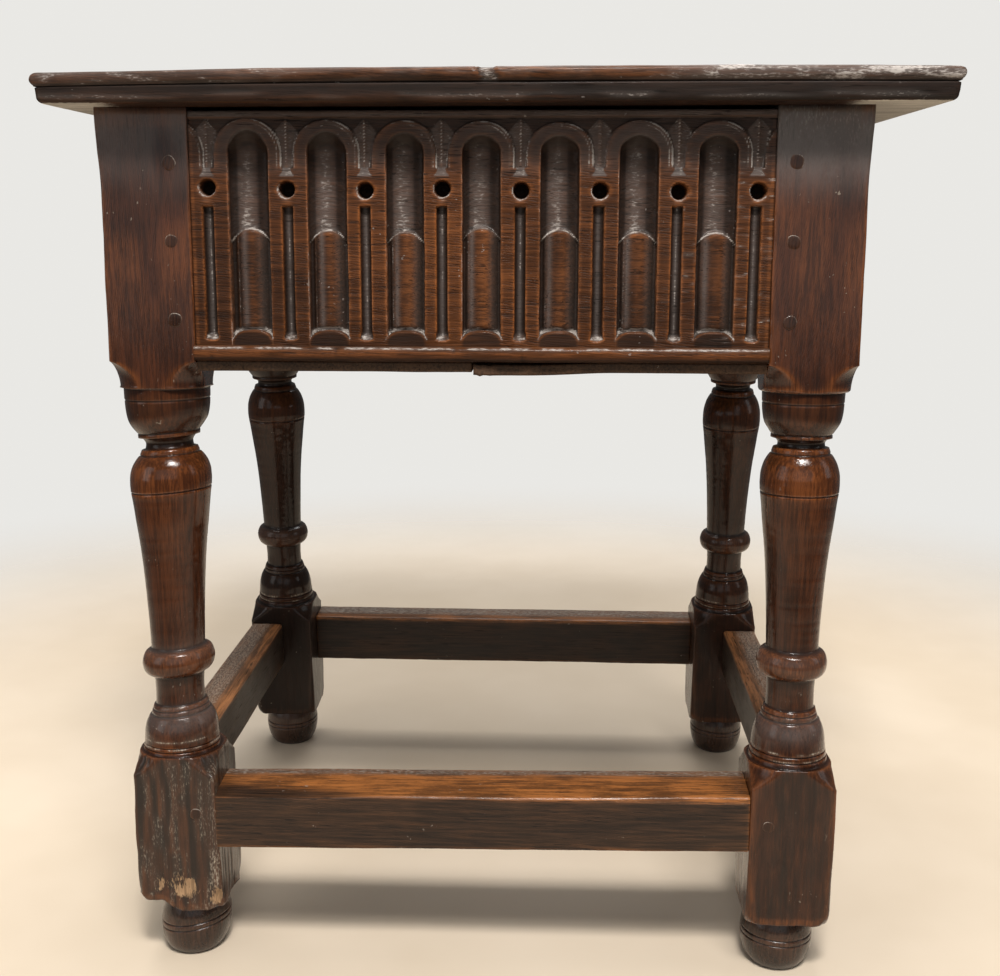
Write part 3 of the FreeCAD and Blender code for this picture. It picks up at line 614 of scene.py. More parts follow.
foot_turning = (
    (foot_height, 18.9, corner), (34.0, 20.3, bend), (29.5, 22.0, bend), (24.6, 22.9, corner),
    (23.9, 22.1, corner), (23.2, 23.0, corner), (20.9, 23.1, corner), (20.2, 22.3, corner),
    (19.5, 23.0, corner), (15.0, 22.6, bend), (9.5, 21.4, bend), (5.0, 19.5, bend),
    (1.8, 17.2, bend), (0.4, 15.2, corner),
)


# Turning radius beyond the square stock's corners, and the radius at which its arches close
beyond_square = 60.0
arch_reach = 39.5

# Heights on a leg where painted shade and sheen, dust with painted highlights, and rubbing are put
cup_neck = 363
upper_swell = 323
ring_crest = 204.6
base_neck = 163
base_collar = 170.8
base_lines = (150.2, 145.4)


def turned_outline(points, step):
    """Half outline through points of height and radius. Between corners it bends as a Catmull-Rom curve."""
    points = np.array(points, float)
    ends = np.flatnonzero(points[:, 2] == corner)
    parts = []
    for first, last in zip(ends[:-1], ends[1:]):
        knots = points[first : last + 1, :2]
        knots = np.concatenate([2 * knots[:1] - knots[1:2], knots, 2 * knots[-1:] - knots[-2:-1]])
        for k in range(1, len(knots) - 2):
            count = max(1, int(np.ceil(np.linalg.norm(knots[k + 1] - knots[k]) / step)))
            t = (np.arange(count) / count)[:, None]
            a, b, c, d = knots[k - 1 : k + 3]
            square, cube = 2 * a - 5 * b + 4 * c - d, 3 * b - a - 3 * c + d
            parts.append(0.5 * (2 * b + (c - a) * t + square * t**2 + cube * t**3))
    return np.concatenate(parts + [points[-1:, :2]])


def square_reach(angle, half, rounding):
    """Distance from the axis to a square: half / cos on the flats, circles at the rounded corners."""
    folded = np.abs((angle + math.pi / 4) % (math.pi / 2) - math.pi / 4)
    flat = half / np.cos(folded)
    inner = half - rounding
    total = inner * (np.cos(folded) + np.sin(folded))
    room = rounding**2 - (inner * (np.cos(folded) - np.sin(folded))) ** 2
    round_part = total + np.sqrt(np.maximum(room, 0))
    return np.where(flat * np.sin(folded) > inner, round_part, flat)


def about_axis(angle, height, radius):
    """Points on a cylinder, where the random fields of a turned piece are read."""
    x, y = np.cos(angle) * radius, np.sin(angle) * radius
    return np.stack([x + 0 * height, y + 0 * height, height + 0 * angle], -1)


def with_ends(points, ends):
    """Rows with two rings, near and far, added before the first and after the last."""
    (first_near, first_far), (last_near, last_far) = ends
    return np.concatenate([[first_far, first_near], points, [last_near, last_far]])


def with_end_marks(marks, shape):
    """Marks carried on over the two rings added at each end."""
    return {
        name: np.pad(np.broadcast_to(value, shape), ((2, 2), (0, 0)), mode="edge")
        for name, value in marks.items()
    }


def leg_angles():
    """Angles of a leg's columns: even steps along a rounded square, so that the arrises get the most."""
    arris = 2.5
    flat = np.linspace(-1, 1, 43)[:-1] * (half_square - arris)
    arc = np.linspace(0, math.pi / 2, 11)[:-1]
    x = np.concatenate([np.full(len(flat), half_square), half_square - arris + arris * np.cos(arc)])
    y = np.concatenate([flat, half_square - arris + arris * np.sin(arc)])
    quarter = np.arctan2(y, x)
    return np.concatenate([quarter + turn * math.pi / 2 for turn in range(4)])


def arch_rows(end, height, least, power):
    """Rows through the arch-shaped ends of a block's arrises, which open from a least radius.

    The height goes as the sine of a turn, and the radius as 1 - cos of it, raised to a power.
    """
    turn = np.radians(np.linspace(90, 0, 26))[1:-1]
    radius = least + (arch_reach - least) * (1 - np.cos(turn)) ** power
    return np.stack([end + height * np.sin(turn), radius], -1)


def leg_rows(fullness, cup, sag):
    """Heights and turning radii down a leg: block, arch, turned part, arch and foot block.

    The sag lowers the cup, the collar, the line round the shoulder, the ring and the base, each by
    its own amount.
    """
    outline = turned_outline(leg_turning, 1.0)
    heights, radii = outline[:, 0], outline[:, 1]
    under_cup, collar, line, ring, base = sag
    places = (-block_end, -351, -341, -328, -313, -205, -172, -152, -lower_block_top)
    drops = (0, under_cup, collar, (collar + line) / 2, line, ring, base, base * 0.75, 0)
    full = np.interp(-heights, (-348, -330, -165, -lower_block_top), (0, 1, 1, 0))
    wide = 1 + (fullness - 1) * full + (cup - 1) * np.interp(-heights, (-352, -346), (1, 0))
    turned = np.stack([heights - np.interp(-heights, places, drops), radii * wide], -1)
    upper = np.arange(leg_top, block_end + upper_arch_height, -3.0)
    lower = np.arange(lower_block_top - lower_arch_height, foot_height + 27, -1.6)
    toe = np.linspace(0, 1, 22)
    low_arch = arch_rows(-lower_block_top, lower_arch_height, 28.2, 0.6)[::-1] * (-1, 1)
    parts = [
        np.stack([upper, np.full(len(upper), beyond_square)], -1),
        arch_rows(block_end, upper_arch_height, 27.9, 1.0),
        turned,
        low_arch,
        np.stack([lower, np.full(len(lower), beyond_square)], -1),
        np.stack([foot_height + 26 * (1 - toe), 42.4 - 9.4 * toe**1.6], -1),
    ]
    return np.concatenate(parts)


def make_leg(name, side, back, shape, seed, lift, furrow, shade, low_shade, haze):
    """Leg cut from square stock: the turning radius and the square's reach, whichever is less.

    The two meet softly. The shape gives fullness, cup, sag, skew (how much the turned lines
    rise to one side), shift and flare of the foot block, and spread of the top.
    """
    rows = leg_rows(shape["fullness"], shape["cup"], shape["sag"])
    angle = leg_angles()[None, :]
    height, radius = rows[:, :1], rows[:, 1:]
    turn = math.pi if back else 0.0
    spot = about_axis(angle, height, 30)
    worn = 1.3 + 0.9 * noise(spot, (30, 30, 26), seed) + 0.5 * noise(spot, (24, 24, 7), seed + 1)
    worn = worn + 3.0 * ramp(70 - height, 50) + 0 * angle
    square = square_reach(angle, half_square, np.clip(worn, 0.5, 9))
    soft = 0.3 + 0.4 * ramp(lower_block_top + 8 - height, 10)
    reach = -soft * np.log(np.exp(-square / soft) + np.exp(-np.minimum(radius, 45) / soft))
    in_block = ramp(radius - 27, 1.5) + 0 * angle
    reach = reach + 0.13 * noise(spot, 26, seed + 2) * (1 - in_block)
    reach = reach + 0.045 * noise(spot, (50, 50, 2.6), seed + 14) * (1 - in_block)
    reach = reach + 0.22 * noise(spot, (40, 40, 60), seed + 3) * in_block
    reach = reach + 0.1 * noise(spot, (6, 6, 9), seed + 10) * ramp(185 - height, 30)
    low_block = in_block * ramp(lower_block_top - height, 10)
    fibres = np.clip(noise(spot, (2.6, 2.6, 26), seed + 4) + 0.1, 0, 1)
    hollows = np.clip(noise(spot, (9, 9, 14), seed + 5), 0, 1) * 0.7
    eaten_away = 2.4 * ramp(50 - height, 20) * np.clip(noise(spot, (12, 12, 18), seed + 6) - 0.05, 0, 1)
    reach = reach - low_block * furrow * (0.85 * fibres + hollows + eaten_away)
    across, y = reach * np.cos(angle + turn), reach * np.sin(angle + turn)
    z = along(height) + 0 * angle
    turned = np.interp(-height, (-block_end, -352, -160, -lower_block_top), (0, 1, 1, 0))
    z = z + shape["skew"] * across * turned
    top = ramp(height - leg_top + 12, 20)
    outer = ramp(side * across - 12, 20)
    moved = low_block * (shape["shift"] + shape["flare"] * ramp(across - 12, 20) * ramp(85 - height, 60))
    moved = moved + side * shape["spread"] * outer * ramp(height - 518, 50)
    x, y = across + moved + side * (frame_width - leg_square) / 2, y + half_square
    z = z + y * slope * top
    ragged = noise(np.stack([x, y, 0 * x], -1), 7, seed + 7)
    toe = ramp(foot_height + 9 - height, 16)
    z = z + toe * (lift[0] * ramp(-across - 6, 10) + lift[1] * (0.5 + ragged))
    face = ramp(half_square - 20 - y, 8)
    chips = hill(across - 3, 8) * hill(height - 53, 9) + hill(across - 24, 6) * hill(height - 47, 8)
    chips = chips + 0.7 * hill(across + 12, 3.5) * hill(height - 56, 8)
    chips = chips * face * furrow * (1.0 + 0.9 * noise(spot, (4, 4, 7), seed + 8))
    reach_in = low_block * face * np.clip(chips, 0, 1) * 1.1
    y = y + reach_in
    dry = chips * low_block * (0.85 + 0.4 * noise(spot, (1.6, 1.6, 4), seed + 15))
    # Darker just under the lid. The shade argument paints shade over a whole back leg, low_shade darkens the
    # middle of the turning, and the cup gets painted shade. The neck over the base and the foot block are
    # darker, and the worn foot block holds grime.
    soot = 0.3 * ramp(height - leg_top + 14, 26) * ramp(leg_top - 4 - height, 4) + shade
    soot = soot + 0.6 * hill(height - cup_neck, 13) * (1 - in_block) + 0.2 * low_block
    soot = soot + 0.25 * hill(height - base_neck, 9) * (1 - in_block) + low_shade * hill(height - 225, 60)
    soot = soot + low_block * furrow * (0.3 + 0.4 * fibres)
    broken = ramp(noise(spot, (7, 7, 5), seed + 12) + 0.05, 0.5)
    # The cut lines round the base and the collar above it get dust and a broken painted highlight.
    lines = hill(height - base_lines[0], 0.9) + hill(height - base_lines[1], 0.8)
    dust = 0.55 * lines * (1 - in_block) * broken
    dust = dust + 0.4 * hill(height - base_collar, 0.8) * (1 - in_block) * broken
    flecked = 0.15 + 0.16 * ramp(noise(spot, (3, 3, 20), seed + 9) - 0.1, 0.6) + 0.16 * hill(across - 25, 6)
    dust = dust + low_block * furrow * flecked * (0.6 + 0.4 * face)
    # Painted sheen: a patchy grey over the top of the block under the lid, with flecks, and over the neck of
    # the base and the ring, with a faint grey over the upper block.
    veil = ramp(noise(spot, (14, 14, 30), seed + 13) + 0.5, 1.0)
    dust = dust + 0.3 * haze * in_block * ramp(height - 516, 34) * veil
    greyed = haze * in_block * ramp(height - 500, 42) * veil
    greyed = greyed + 0.6 * hill(height - base_neck, 8) * (1 - in_block) * (1 - back)
    greyed = greyed + 0.3 * hill(height - 208, 6) * (1 - in_block) + 0.05 * in_block * (1 - low_block)
    warm = 0.3 * in_block * hill(height - 455, 45) * ramp(noise(spot, (16, 16, 50), seed + 11) + 0.15, 0.7)
    crest = 0.35 * hill(height - ring_crest, 7) + 0.25 * hill(height - upper_swell, 16) * (1 - in_block)
    crest = crest + 0.3 * low_block * (1 - furrow) * ramp(np.abs(across) - 22.5, 4)
    marks = {"dry": dry, "soot": soot, "dust": dust, "rub": crest + warm, "haze": greyed}
    points = np.stack([x, y, z], -1)
    middle = points[[0, -1]].mean(1, keepdims=True)
    top_rings = middle[:1] + (points[:1] - middle[:1]) * np.array([0.35, 0.95])[:, None, None]
    low_rings = middle[1:] + (points[-1:] - middle[1:]) * np.array([0.95, 0.35])[:, None, None]
    marks = with_end_marks(marks, points.shape[:2])
    points = stand(np.concatenate([top_rings, points, low_rings]), back)
    piece = Piece(name + "_turned")
    piece.tube(points, 9, 0.7, **marks)
    piece.finish("frame", leg_oak, (name,), "oak_frame")


def make_foot(name, side, back, seed, inset, skew):
    """Bun foot: its half outline turned about the leg's axis, with two cut lines round its widest part.

    The skew raises one side of its middle.
    """
    rows = turned_outline(foot_turning, 0.9)
    angle = np.linspace(0, 2 * math.pi, 121)[:-1][None, :]
    height, radius = rows[:, :1], rows[:, 1:]
    middle = side * ((frame_width - leg_square) / 2 - inset)
    spot = about_axis(angle, height, 24)
    dents = 0.5 * np.clip(noise(spot, 6, seed + 1) - 0.45, 0, 1) * ramp(14 - height, 10)
    reach = radius + 0.15 * noise(spot, 14, seed) - dents
    x, y = reach * np.cos(angle), reach * np.sin(angle)
    lifted = skew * x * np.sin(math.pi * np.clip(height / foot_height, 0, 1)) ** 0.5
    points = stand(np.stack([middle + x, half_square + y, along(height) + lifted], -1), back)
    points[..., 2] = np.maximum(points[..., 2], 0)
    piece = Piece(name + "_bun")
    piece.tube(points, 8, 0.8, soot=0.3 * ramp(6 - height, 8) + 0 * angle)
    piece.finish("frame", foot_wood, (name,), "oak_foot")


# Bars: rails and stretchers

arris_spread = 0.4


def worn_section(low, high, radii, flat=14, arc=7):
    """Loop round a rectangle with four rounded corners, one row of corner radii for each row of the bar.

    A radius may differ across and up: the corner is then a quarter of an ellipse.
    """
    loops = []
    signs = ((1, -1, -90), (1, 1, 0), (-1, 1, 90), (-1, -1, 180))
    middle = (np.asarray(low) + np.asarray(high)) / 2
    half = (np.asarray(high) - np.asarray(low)) / 2
    quarters = []
    for index, (sx, sz, start) in enumerate(signs):
        across, up = radii[:, index, :1], radii[:, index, 1:]
        turn = np.radians(start + np.linspace(0, 90, arc))[None, :]
        x = middle[0] + sx * (half[0] - across) + across * np.cos(turn)
        z = middle[1] + sz * (half[1] - up) + up * np.sin(turn)
        quarters.append(np.stack([x, z], -1))
    for index in range(4):
        here, after = quarters[index], quarters[(index + 1) % 4]
        t = np.linspace(0, 1, flat + 2)[1:-1][None, :, None]
        loops += [here, here[:, -1:] * (1 - t) + after[:, :1] * t]
    return np.concatenate(loops, 1)


def bar_rows(count, edge):
    """Shares of the way along a bar from -1 to 1, and how much each row is drawn in to round off the ends."""
    body = np.linspace(-1, 1, count)
    end = np.array([0.0, 0.08, 0.25, 0.5, 0.8]) * edge
    drawn = edge * (1 - np.sqrt(1 - (1 - end / edge) ** 2))
    return body, end, drawn


def bar_radii(stations, sizes, spread, seed):
    """Corner radii along a bar: a size for each corner, uneven with wear."""
    count = len(stations)
    radii = np.zeros((count, 4, 2))
    for index, size in enumerate(sizes):
        spot = np.stack([stations, np.full(count, index * 50.0), np.zeros(count)], -1)
        wave = 1 + spread * noise(spot, 22, seed) + 0.6 * spread * noise(spot, 6, seed + 1)
        radii[:, index] = np.clip(np.array(size) * wave[:, None], 0.15, None)
    return radii


def front_reach(v):
    """Half length of a front or back bar, from leg to leg."""
    return rail_span / 2 - joint_gap + 0 * v


def side_reach(v):
    """Half length of a side bar at a height: its ends slant with the legs."""
    return inner_face_at(v) - joint_gap


def make_bar(piece, low, high, reach, sizes, place, rows, seed, tenon, marks, flat, dress=0.2, shape=None):
    """Bar with unevenly worn arrises, drawn in a little at both ends, with tenons beyond its shoulders.

    reach(v) is half its length at a height, so that the ends can slant. place(s, u, v) sets the
    drawing down: s along the bar, u across it and v up.
    """
    body, end, drawn = bar_rows(rows, 0.5)
    middle = (np.asarray(low) + np.asarray(high)) / 2
    half = (np.asarray(high) - np.asarray(low)) / 2
    full = reach(middle[1])
    shares = np.concatenate([-1 + end / full, body[1:-1], 1 - end[::-1] / full])
    inset = np.concatenate([drawn, np.zeros(rows - 2), drawn[::-1]])
    section = worn_section(low, high, bar_radii(shares * full, sizes, arris_spread, seed), flat)
    section = middle + (section - middle) * (1 - inset[:, None, None] / half)
    u, v = section[..., 0], section[..., 1]
    s = shares[:, None] * reach(v)
    spot = np.stack([s, u, v], -1)
    off = spot[..., 1:] - middle
    outward = np.where(np.abs(off / half) > 0.96, np.sign(off), 0)
    waves = noise(spot, (60, 18, 18), seed + 2) + 0.35 * noise(spot, (16, 6, 6), seed + 3)
    bump = dress * waves - dress * 0.4
    u, v = u + outward[..., 0] * bump, v + outward[..., 1] * bump
    if shape:
        u, v = shape(s, u, v)
    given = with_end_marks(marks(s, u, v), s.shape)
    t0, t1, h0, h1, length = tenon
    tu, tv = np.clip(u[0], t0, t1), np.clip(v[0], h0, h1)
    far = reach(tv) + length
    ends = []
    for sign, row in ((-1, 0), (1, -1)):
        base = np.clip(u[row], t0, t1), np.clip(v[row], h0, h1)
        near = np.stack([sign * (reach(base[1])), *base], -1)
        tip = np.stack([sign * far, tu, tv], -1)
        ends.append((near, tip))
    spots = with_ends(np.stack([s, u, v], -1), ends)
    piece.tube(place(spots[..., 0], spots[..., 1], spots[..., 2]), 6, 1.0, **given)


def place_end(back, base_height):
    """Sets down a front or back bar: u is y inwards and v is height above the bar's lower edge."""

    def place(s, u, v):
        return stand(np.stack([s, u, along(base_height) + v], -1), back)

    return place


def place_side(side):
    """Sets down a side bar: u is depth inwards from the outer face of the frame and v is height."""

    def place(s, u, v):
        return np.stack([frame_middle + side * (frame_width / 2 - u), s, v], -1)

    return place


# Carved arcade of the front rail

bay_pitch = 45.6
arcade_offset = 1.1
bay_shifts = (0.0, 0.8, 1.0, 0.1, 0.1, 0.1, 0.0)
flute_widths = (23.6, 23.0, 21.9, 22.2, 22.5, 22.4, 22.3)
hole_shifts = (-1.6, 0.1, 0.3, -0.3, 0.0, 0.0, -0.2, -0.6)
hole_offsets = (0.0, -0.3, 0.2, 0.3, 0.5, 0.7, 0.7, 1.1)
hole_heights = (101.2, 100.1, 99.5, 100.4, 99.3, 99.3, 98.8, 99.0)
spring_height = 121.0
flute_crowns = (134.9, 133.5, 132.5, 131.2, 130.7, 131.1, 130.8)
arch_crowns = (140.1, 139.2, 138.7, 138.3, 137.4, 138.5, 138.2)
ground_top = 140.6
band_width = 7.8
reed_half = 9.4
reed_crowns = (76.4, 75.5, 74.5, 76.9, 75.9, 74.8, 74.3)
foot_half, foot_base, foot_rise = 11.6, 11.2, 6.8
slot_half, slot_foot, slot_head = 3.1, 12.4, 90.2
hole_radius = 4.4
leaf_foot, leaf_tip = 111.6, 139.8


class Carving:
    """Depth of the cuts behind a face, and the marks on it. Where cuts or marks meet, the greater counts."""

    def __init__(self, u, v):
        self.u, self.v = u, v
        self.spot = np.stack([u, v, 0 * u], -1)
        self.fine = noise(self.spot, 2.2, 40)
        self.wander = 0.3 * noise(self.spot, 15, 41)
        self.gouge = 0.3 * noise(self.spot, (5.0, 4.0, 1), 42) + 0.12 * noise(self.spot, 2.2, 43)
        self.broken = np.clip(0.6 + 0.9 * noise(self.spot, (4, 5, 1), 49), 0, 1)
        self.upright = noise(self.spot, (1.5, 26, 1), 50)
        self.depth = 0 * u
        self.outside = 0 * u + 99.0
        self.marks = {name: 0 * u for name in ("soot", "dust", "rub", "haze")}

    def cut(self, depth):
        self.depth = np.maximum(self.depth, depth)

    def mark(self, name, value):
        self.marks[name] = np.maximum(self.marks[name], value)


def cut_arch_line(face, across, half, crown):
    """Outer edge of an arch's band, where an ellipse's distance is zero. Its ground is cut back later."""
    over = np.maximum(face.v - spring_height, 0)
    squash = (half + band_width) / (crown - spring_height)
    line = np.hypot(across, over * squash) - half - band_width
    face.outside = np.minimum(face.outside, line)
    above = ramp(face.v - leaf_foot - 0.5, 2)
    # Painted highlight along the outer edge of the band and just inside it, brighter on the right shoulder of
    # each arch. The band is darker above the springing.
    lit = (0.28 + 0.55 * ramp(across - 1, 8)) * (0.5 + 0.5 * face.broken)
    face.mark("dust", 1.7 * lit * hill(line + 0.2, 0.42) * above * (0.35 + 0.75 * face.broken))
    face.mark("dust", (lit - 0.12) * hill(line + 2.2, 0.5) * above * ramp(across - 2, 8))
    face.mark("rub", 0.3 * hill(line + 1.2, 1.6) * above)
    face.mark("soot", 0.4 * ramp(line + 6.5, 3) * ramp(-line, 1) * ramp(face.v - spring_height, 14))


def cut_ground(face):
    """Ground between and over the arches, cut back behind their bands."""
    above = ramp(face.v - leaf_foot - 0.5, 1.4)
    ground = ramp(face.outside - 0.3, 0.7) * above * (1 - ramp(face.v - ground_top, 1.6))
    face.cut(1.0 * ground)
    face.mark("soot", 0.75 * ground)


def cut_flute(face, across, half, crowns, glow):
    """Round-headed flute with a reed standing in its lower part.

    The flute's edge is a half ellipse on two upright lines. Its hollow is a flat ellipse in
    section and runs out gently at the head. The reed's section is a parabola, and a gouge has
    scooped it off at the crown and above the rounded flat at the foot. Painted shade lies on the
    hollow's walls and round its head, and painted shade in the gap left of the reed and painted
    sheen on its left flank lie further from its middle towards the right end of the rail.
    """
    v, fine = face.v, face.fine
    head_crown, crown = crowns
    beside = np.abs(across)
    over = np.maximum(v - spring_height, 0)
    head = np.hypot(across, over * half / (head_crown - spring_height))
    edge = half - head + 0.1 * fine
    lift = np.sqrt((beside / foot_half) ** 3 + (np.maximum(v - foot_base, 0) / foot_rise) ** 2)
    ring = (lift - 1) * foot_rise
    open_foot = ramp(ring - 0.3, 0.7)
    bow = np.clip(beside / reed_half, 0, 1)
    arcs = np.sin(2 * math.pi * (v + 0.045 * across**2) / 2.5 + 2.5 * noise(face.spot, 8, 47))
    arcs = arcs * ramp(noise(face.spot, (9, 9, 1), 48) + 0.2, 0.8)
    hollow = 1.7 + 3.9 * np.sqrt(np.clip(1 - (head / half) ** 2, 0, 1)) + face.gouge + 0.08 * arcs
    run_out = ramp(v - spring_height - 3, 8)
    hollow = hollow * (1 - run_out + run_out * np.clip(edge / 6.0, 0, 1) ** 0.7)
    reed = 0.8 + 3.0 * bow**2 + 1.5 * (1 - np.sqrt(1 - bow**2)) + 0.1 * fine
    reed = reed + 0.5 * ramp(beside - reed_half, 0.6) + 0.06 * face.upright
    above = v - crown + 4.6 * (beside / reed_half) ** 2.2
    scoop = np.sin(math.pi / 2 * np.clip(above / 3.2, 0, 1))
    floor = reed + (hollow - reed) * scoop
    floor = floor + (4.8 - floor) * (1 - np.clip(ring / 3.8, 0, 1)) ** 1.4
    within = ramp(edge, 0.8) * open_foot * ramp(v - foot_base - 1.8, 1.6)
    face.cut(floor * within)
    upper = ramp(above - 0.8, 1.6)
    lower = within * (1 - upper)
    # Painted sheen left of the hollow's middle; painted shade (black) on its two walls and over its head.
    sheen = hill(across + 2.0, 5.0) * (1 - 0.6 * run_out)
    black = ramp(across - 4.6, 2.4) + ramp(-across - 7.4, 1.6)
    face.mark("soot", within * upper * np.clip(0.7 - 0.4 * sheen + 0.6 * black + 0.5 * run_out, 0, 1))
    greyed = within * upper * (0.16 + 0.4 * sheen) * (1 - 0.95 * np.clip(black, 0, 1))
    face.mark("haze", greyed * (1 - 0.6 * run_out) * (1 - hill(edge, 2.0)))
    dusty = 0.3 * sheen * (1 + 0.2 * arcs + 0.6 * fine) + 0.12 * hill(above - 4, 5)
    face.mark("dust", within * upper * dusty * (1 - 0.8 * np.clip(black, 0, 1)))
    # Painted shade in the gap left of the reed, beside it and down its right flank.
    drift = 2.6 * ramp(face.u + 70, 110)
    gap = hill(across + 6.5 + drift, 1.7)
    beside_reed = 0.95 * ramp(beside - 8.6, 1.6) + 0.95 * ramp(across - 5.6, 2.6) + 0.95 * gap
    face.mark("soot", lower * np.clip(beside_reed, 0, 1))
    face.mark("soot", lower * (0.42 + 0.2 * face.upright + 1.1 * (0.56 - glow)))
    # Painted sheen on the reed's left flank and a little on its right.
    face.mark("haze", lower * (0.6 * hill(across + 3.3 + drift, 1.9) + 0.2 * hill(across - 5.2, 1.6)))
    # Painted shade round the edge of the head; the foot's flat is darker.
    face.mark("soot", 0.95 * hill(edge - 0.4, 1.3) * ramp(v - spring_height, 8) * (0.7 + 0.3 * fine))
    face.mark("soot", 0.8 * ramp(0.95 - lift, 0.3) * ramp(v - foot_base + 3, 4))
    face.mark("dust", lower * (0.2 + 0.1 * face.upright) * hill(across + 3.2 + drift, 1.1))
    face.mark("dust", lower * 0.16 * ramp(across - 5.5, 3))
    # Dust and painted highlight on the crescent over the reed's crown and round the foot's flat.
    face.mark("dust", within * (0.45 + 0.35 * face.broken) * hill(above - 1.3, 0.75))
    face.mark("dust", lower * (0.75 + 0.25 * fine) * hill(ring - 1.5, 1.3) * (0.5 + 0.5 * face.broken))
    # Painted highlights on the horns of the foot, and along a line low in the hollow's left wall.
    horns = hill(ring - 0.8, 0.5) * ramp(beside - 7.0, 3) * ramp(12.6 - beside, 0.8)
    horns = horns * ramp(v - foot_base - 1.6, 1)
    face.mark("dust", 0.8 * horns * (0.6 + 0.4 * ramp(across, 3)))
    far_line = 0.5 * within * hill(across + 7.8, 0.4) * (0.4 + 0.6 * face.broken)
    face.mark("dust", far_line * ramp(crown - 3 - v, 4))
    face.mark("rub", lower * (glow * hill(across - 2.2, 3.2) + 0.04) * (0.8 + 0.3 * face.upright))
    face.mark("rub", lower * 0.9 * hill(above + 0.6, 0.8) * ramp(6.0 - beside, 3) * face.broken)
    # Rubbed arrises with a painted highlight, brighter on the flute's left edge.
    arris = hill(edge + 0.35, 0.32) * open_foot * (1 - 0.8 * run_out)
    lit = 0.7 + 0.3 * ramp(-across, 4)
    face.mark("rub", arris * lit * (0.55 + 0.3 * face.broken))
    face.mark("dust", arris * lit * (0.22 + 0.3 * face.broken))


def cut_slot_hole_and_leaf(face, across, hole_offset, hole_height):
    """Between two flutes: a slot with a scooped foot, a drilled hole and a pointed leaf over it."""
    v, fine = face.v, face.fine
    beside = np.abs(across)
    width = slot_half + 1.0 * np.clip((slot_foot + 6 - v) / 6, 0, 1) ** 1.2
    edge = np.minimum(width - beside, slot_head - v + 0.3 * fine)
    edge = np.minimum(edge, v - slot_foot - 0.06 * beside**2)
    inside = ramp(edge, 0.7)
    face.cut(inside * (4.2 - 1.2 * (beside / slot_half) ** 2) * np.clip(0.3 + (v - slot_foot) / 6, 0, 1))
    face.mark("soot", inside * np.clip((v - slot_foot) / 5, 0, 0.8))
    face.mark("dust", (0.5 + 0.25 * fine) * inside * hill(v - slot_foot - 1.6, 2.2))
    # A painted highlight and painted sheen down the middle of the slot.
    line = 0.36 * inside * hill(across - 0.1, 0.5) * face.broken
    face.mark("dust", line + 0.14 * inside * hill(across + 0.2, 1.0))
    face.mark("haze", 0.6 * inside * hill(across + 0.2, 1.2) * (1 + 0.15 * fine))
    # Rubbed edges, with a painted highlight on the slot's right edge.
    face.mark("rub", hill(edge + 0.35, 0.3) * (0.4 + 0.35 * face.broken))
    face.mark("dust", 0.28 * hill(edge + 0.35, 0.3) * ramp(across, 2) * face.broken)
    face.mark("rub", 0.5 * hill(v - slot_head - 2.6, 1.6) * hill(across, 2.6))
    off = across - hole_offset
    radius = np.hypot(off, v - hole_height)
    face.cut((9 + 3 * np.clip(1 - radius / hole_radius, 0, 1)) * ramp(hole_radius - radius, 1.4))
    # The hole is painted dark as shade, less on its lower wall, and the ring below and left of it gets a
    # painted highlight.
    low_wall = ramp(hole_height - v - 0.35 * off, 5)
    face.mark("soot", ramp(hole_radius - 0.1 - radius, 0.5) * (1 - 0.35 * low_wall))
    ring = hill(radius - hole_radius - 0.7, 0.5) * ramp(hole_height + 0.5 - v - 0.5 * off, 5)
    face.cut(0.45 * ring)
    face.mark("dust", (0.45 + 0.4 * face.broken) * ring)
    face.mark("dust", 0.5 * hill(v - slot_head - 3.4, 0.8) * hill(across, 2.8) * face.broken)
    height = (leaf_foot, 114.0, 118.0, 122.0, 126.0, 129.0, 131.5, 133.5, 136.5, leaf_tip)
    leaf_half = np.interp(v, height, (2.6, 2.9, 3.2, 3.6, 4.4, 5.4, 6.4, 5.6, 3.0, 0.0))
    edge = np.minimum(leaf_half - beside, v - leaf_foot) + 0.15 * fine
    leaf = ramp(edge - 0.2, 0.8)
    rib = hill(beside, 0.8)
    face.depth = face.depth * (1 - leaf) + leaf * (0.5 + 0.16 * beside - 0.35 * rib)
    face.marks["soot"] = face.marks["soot"] * (1 - leaf) + leaf * (0.3 - 0.1 * rib)
    face.mark("dust", leaf * (0.2 + 0.14 * fine))
    face.mark("haze", leaf * 0.58)
    dots = hill((v + 0.7) % 1.9 - 0.95, 0.5) * hill(beside, 0.6)
    dots = dots * ramp(v - leaf_foot - 3, 2) * ramp(leaf_tip - 0.8 - v, 0.8)
    face.depth = face.depth - 0.3 * dots
    face.mark("dust", 0.85 * dots)
    rim = hill(edge + 0.1, 0.45) * ramp(v - leaf_foot - 1, 2) * ramp(leaf_tip + 0.2 - v, 1)
    face.mark("dust", 0.55 * rim * face.broken)
    face.mark("haze", 0.8 * rim)
    face.mark("soot", 0.9 * hill(edge + 0.9, 0.5) * ramp(v - leaf_foot - 8, 4) * ramp(leaf_tip + 0.2 - v, 1))
    flared = 2.2 + 0.12 * np.clip(leaf_foot + 0.6 - v, 0, 4) ** 2
    bell = ramp(flared - beside, 0.8) * ramp(v - leaf_foot + 4.0, 0.8) * ramp(leaf_foot + 1.2 - v, 0.8)
    face.cut(0.35 * bell * ramp(v - leaf_foot + 2.5, 4))
    face.mark("haze", bell)
    face.mark("dust", bell * (0.26 + 0.2 * fine))
    rim = 0.45 * face.broken * hill(flared - beside - 0.2, 0.45) * ramp(v - leaf_foot + 4.0, 0.8)
    face.mark("dust", rim * ramp(leaf_foot + 1.2 - v, 0.8))


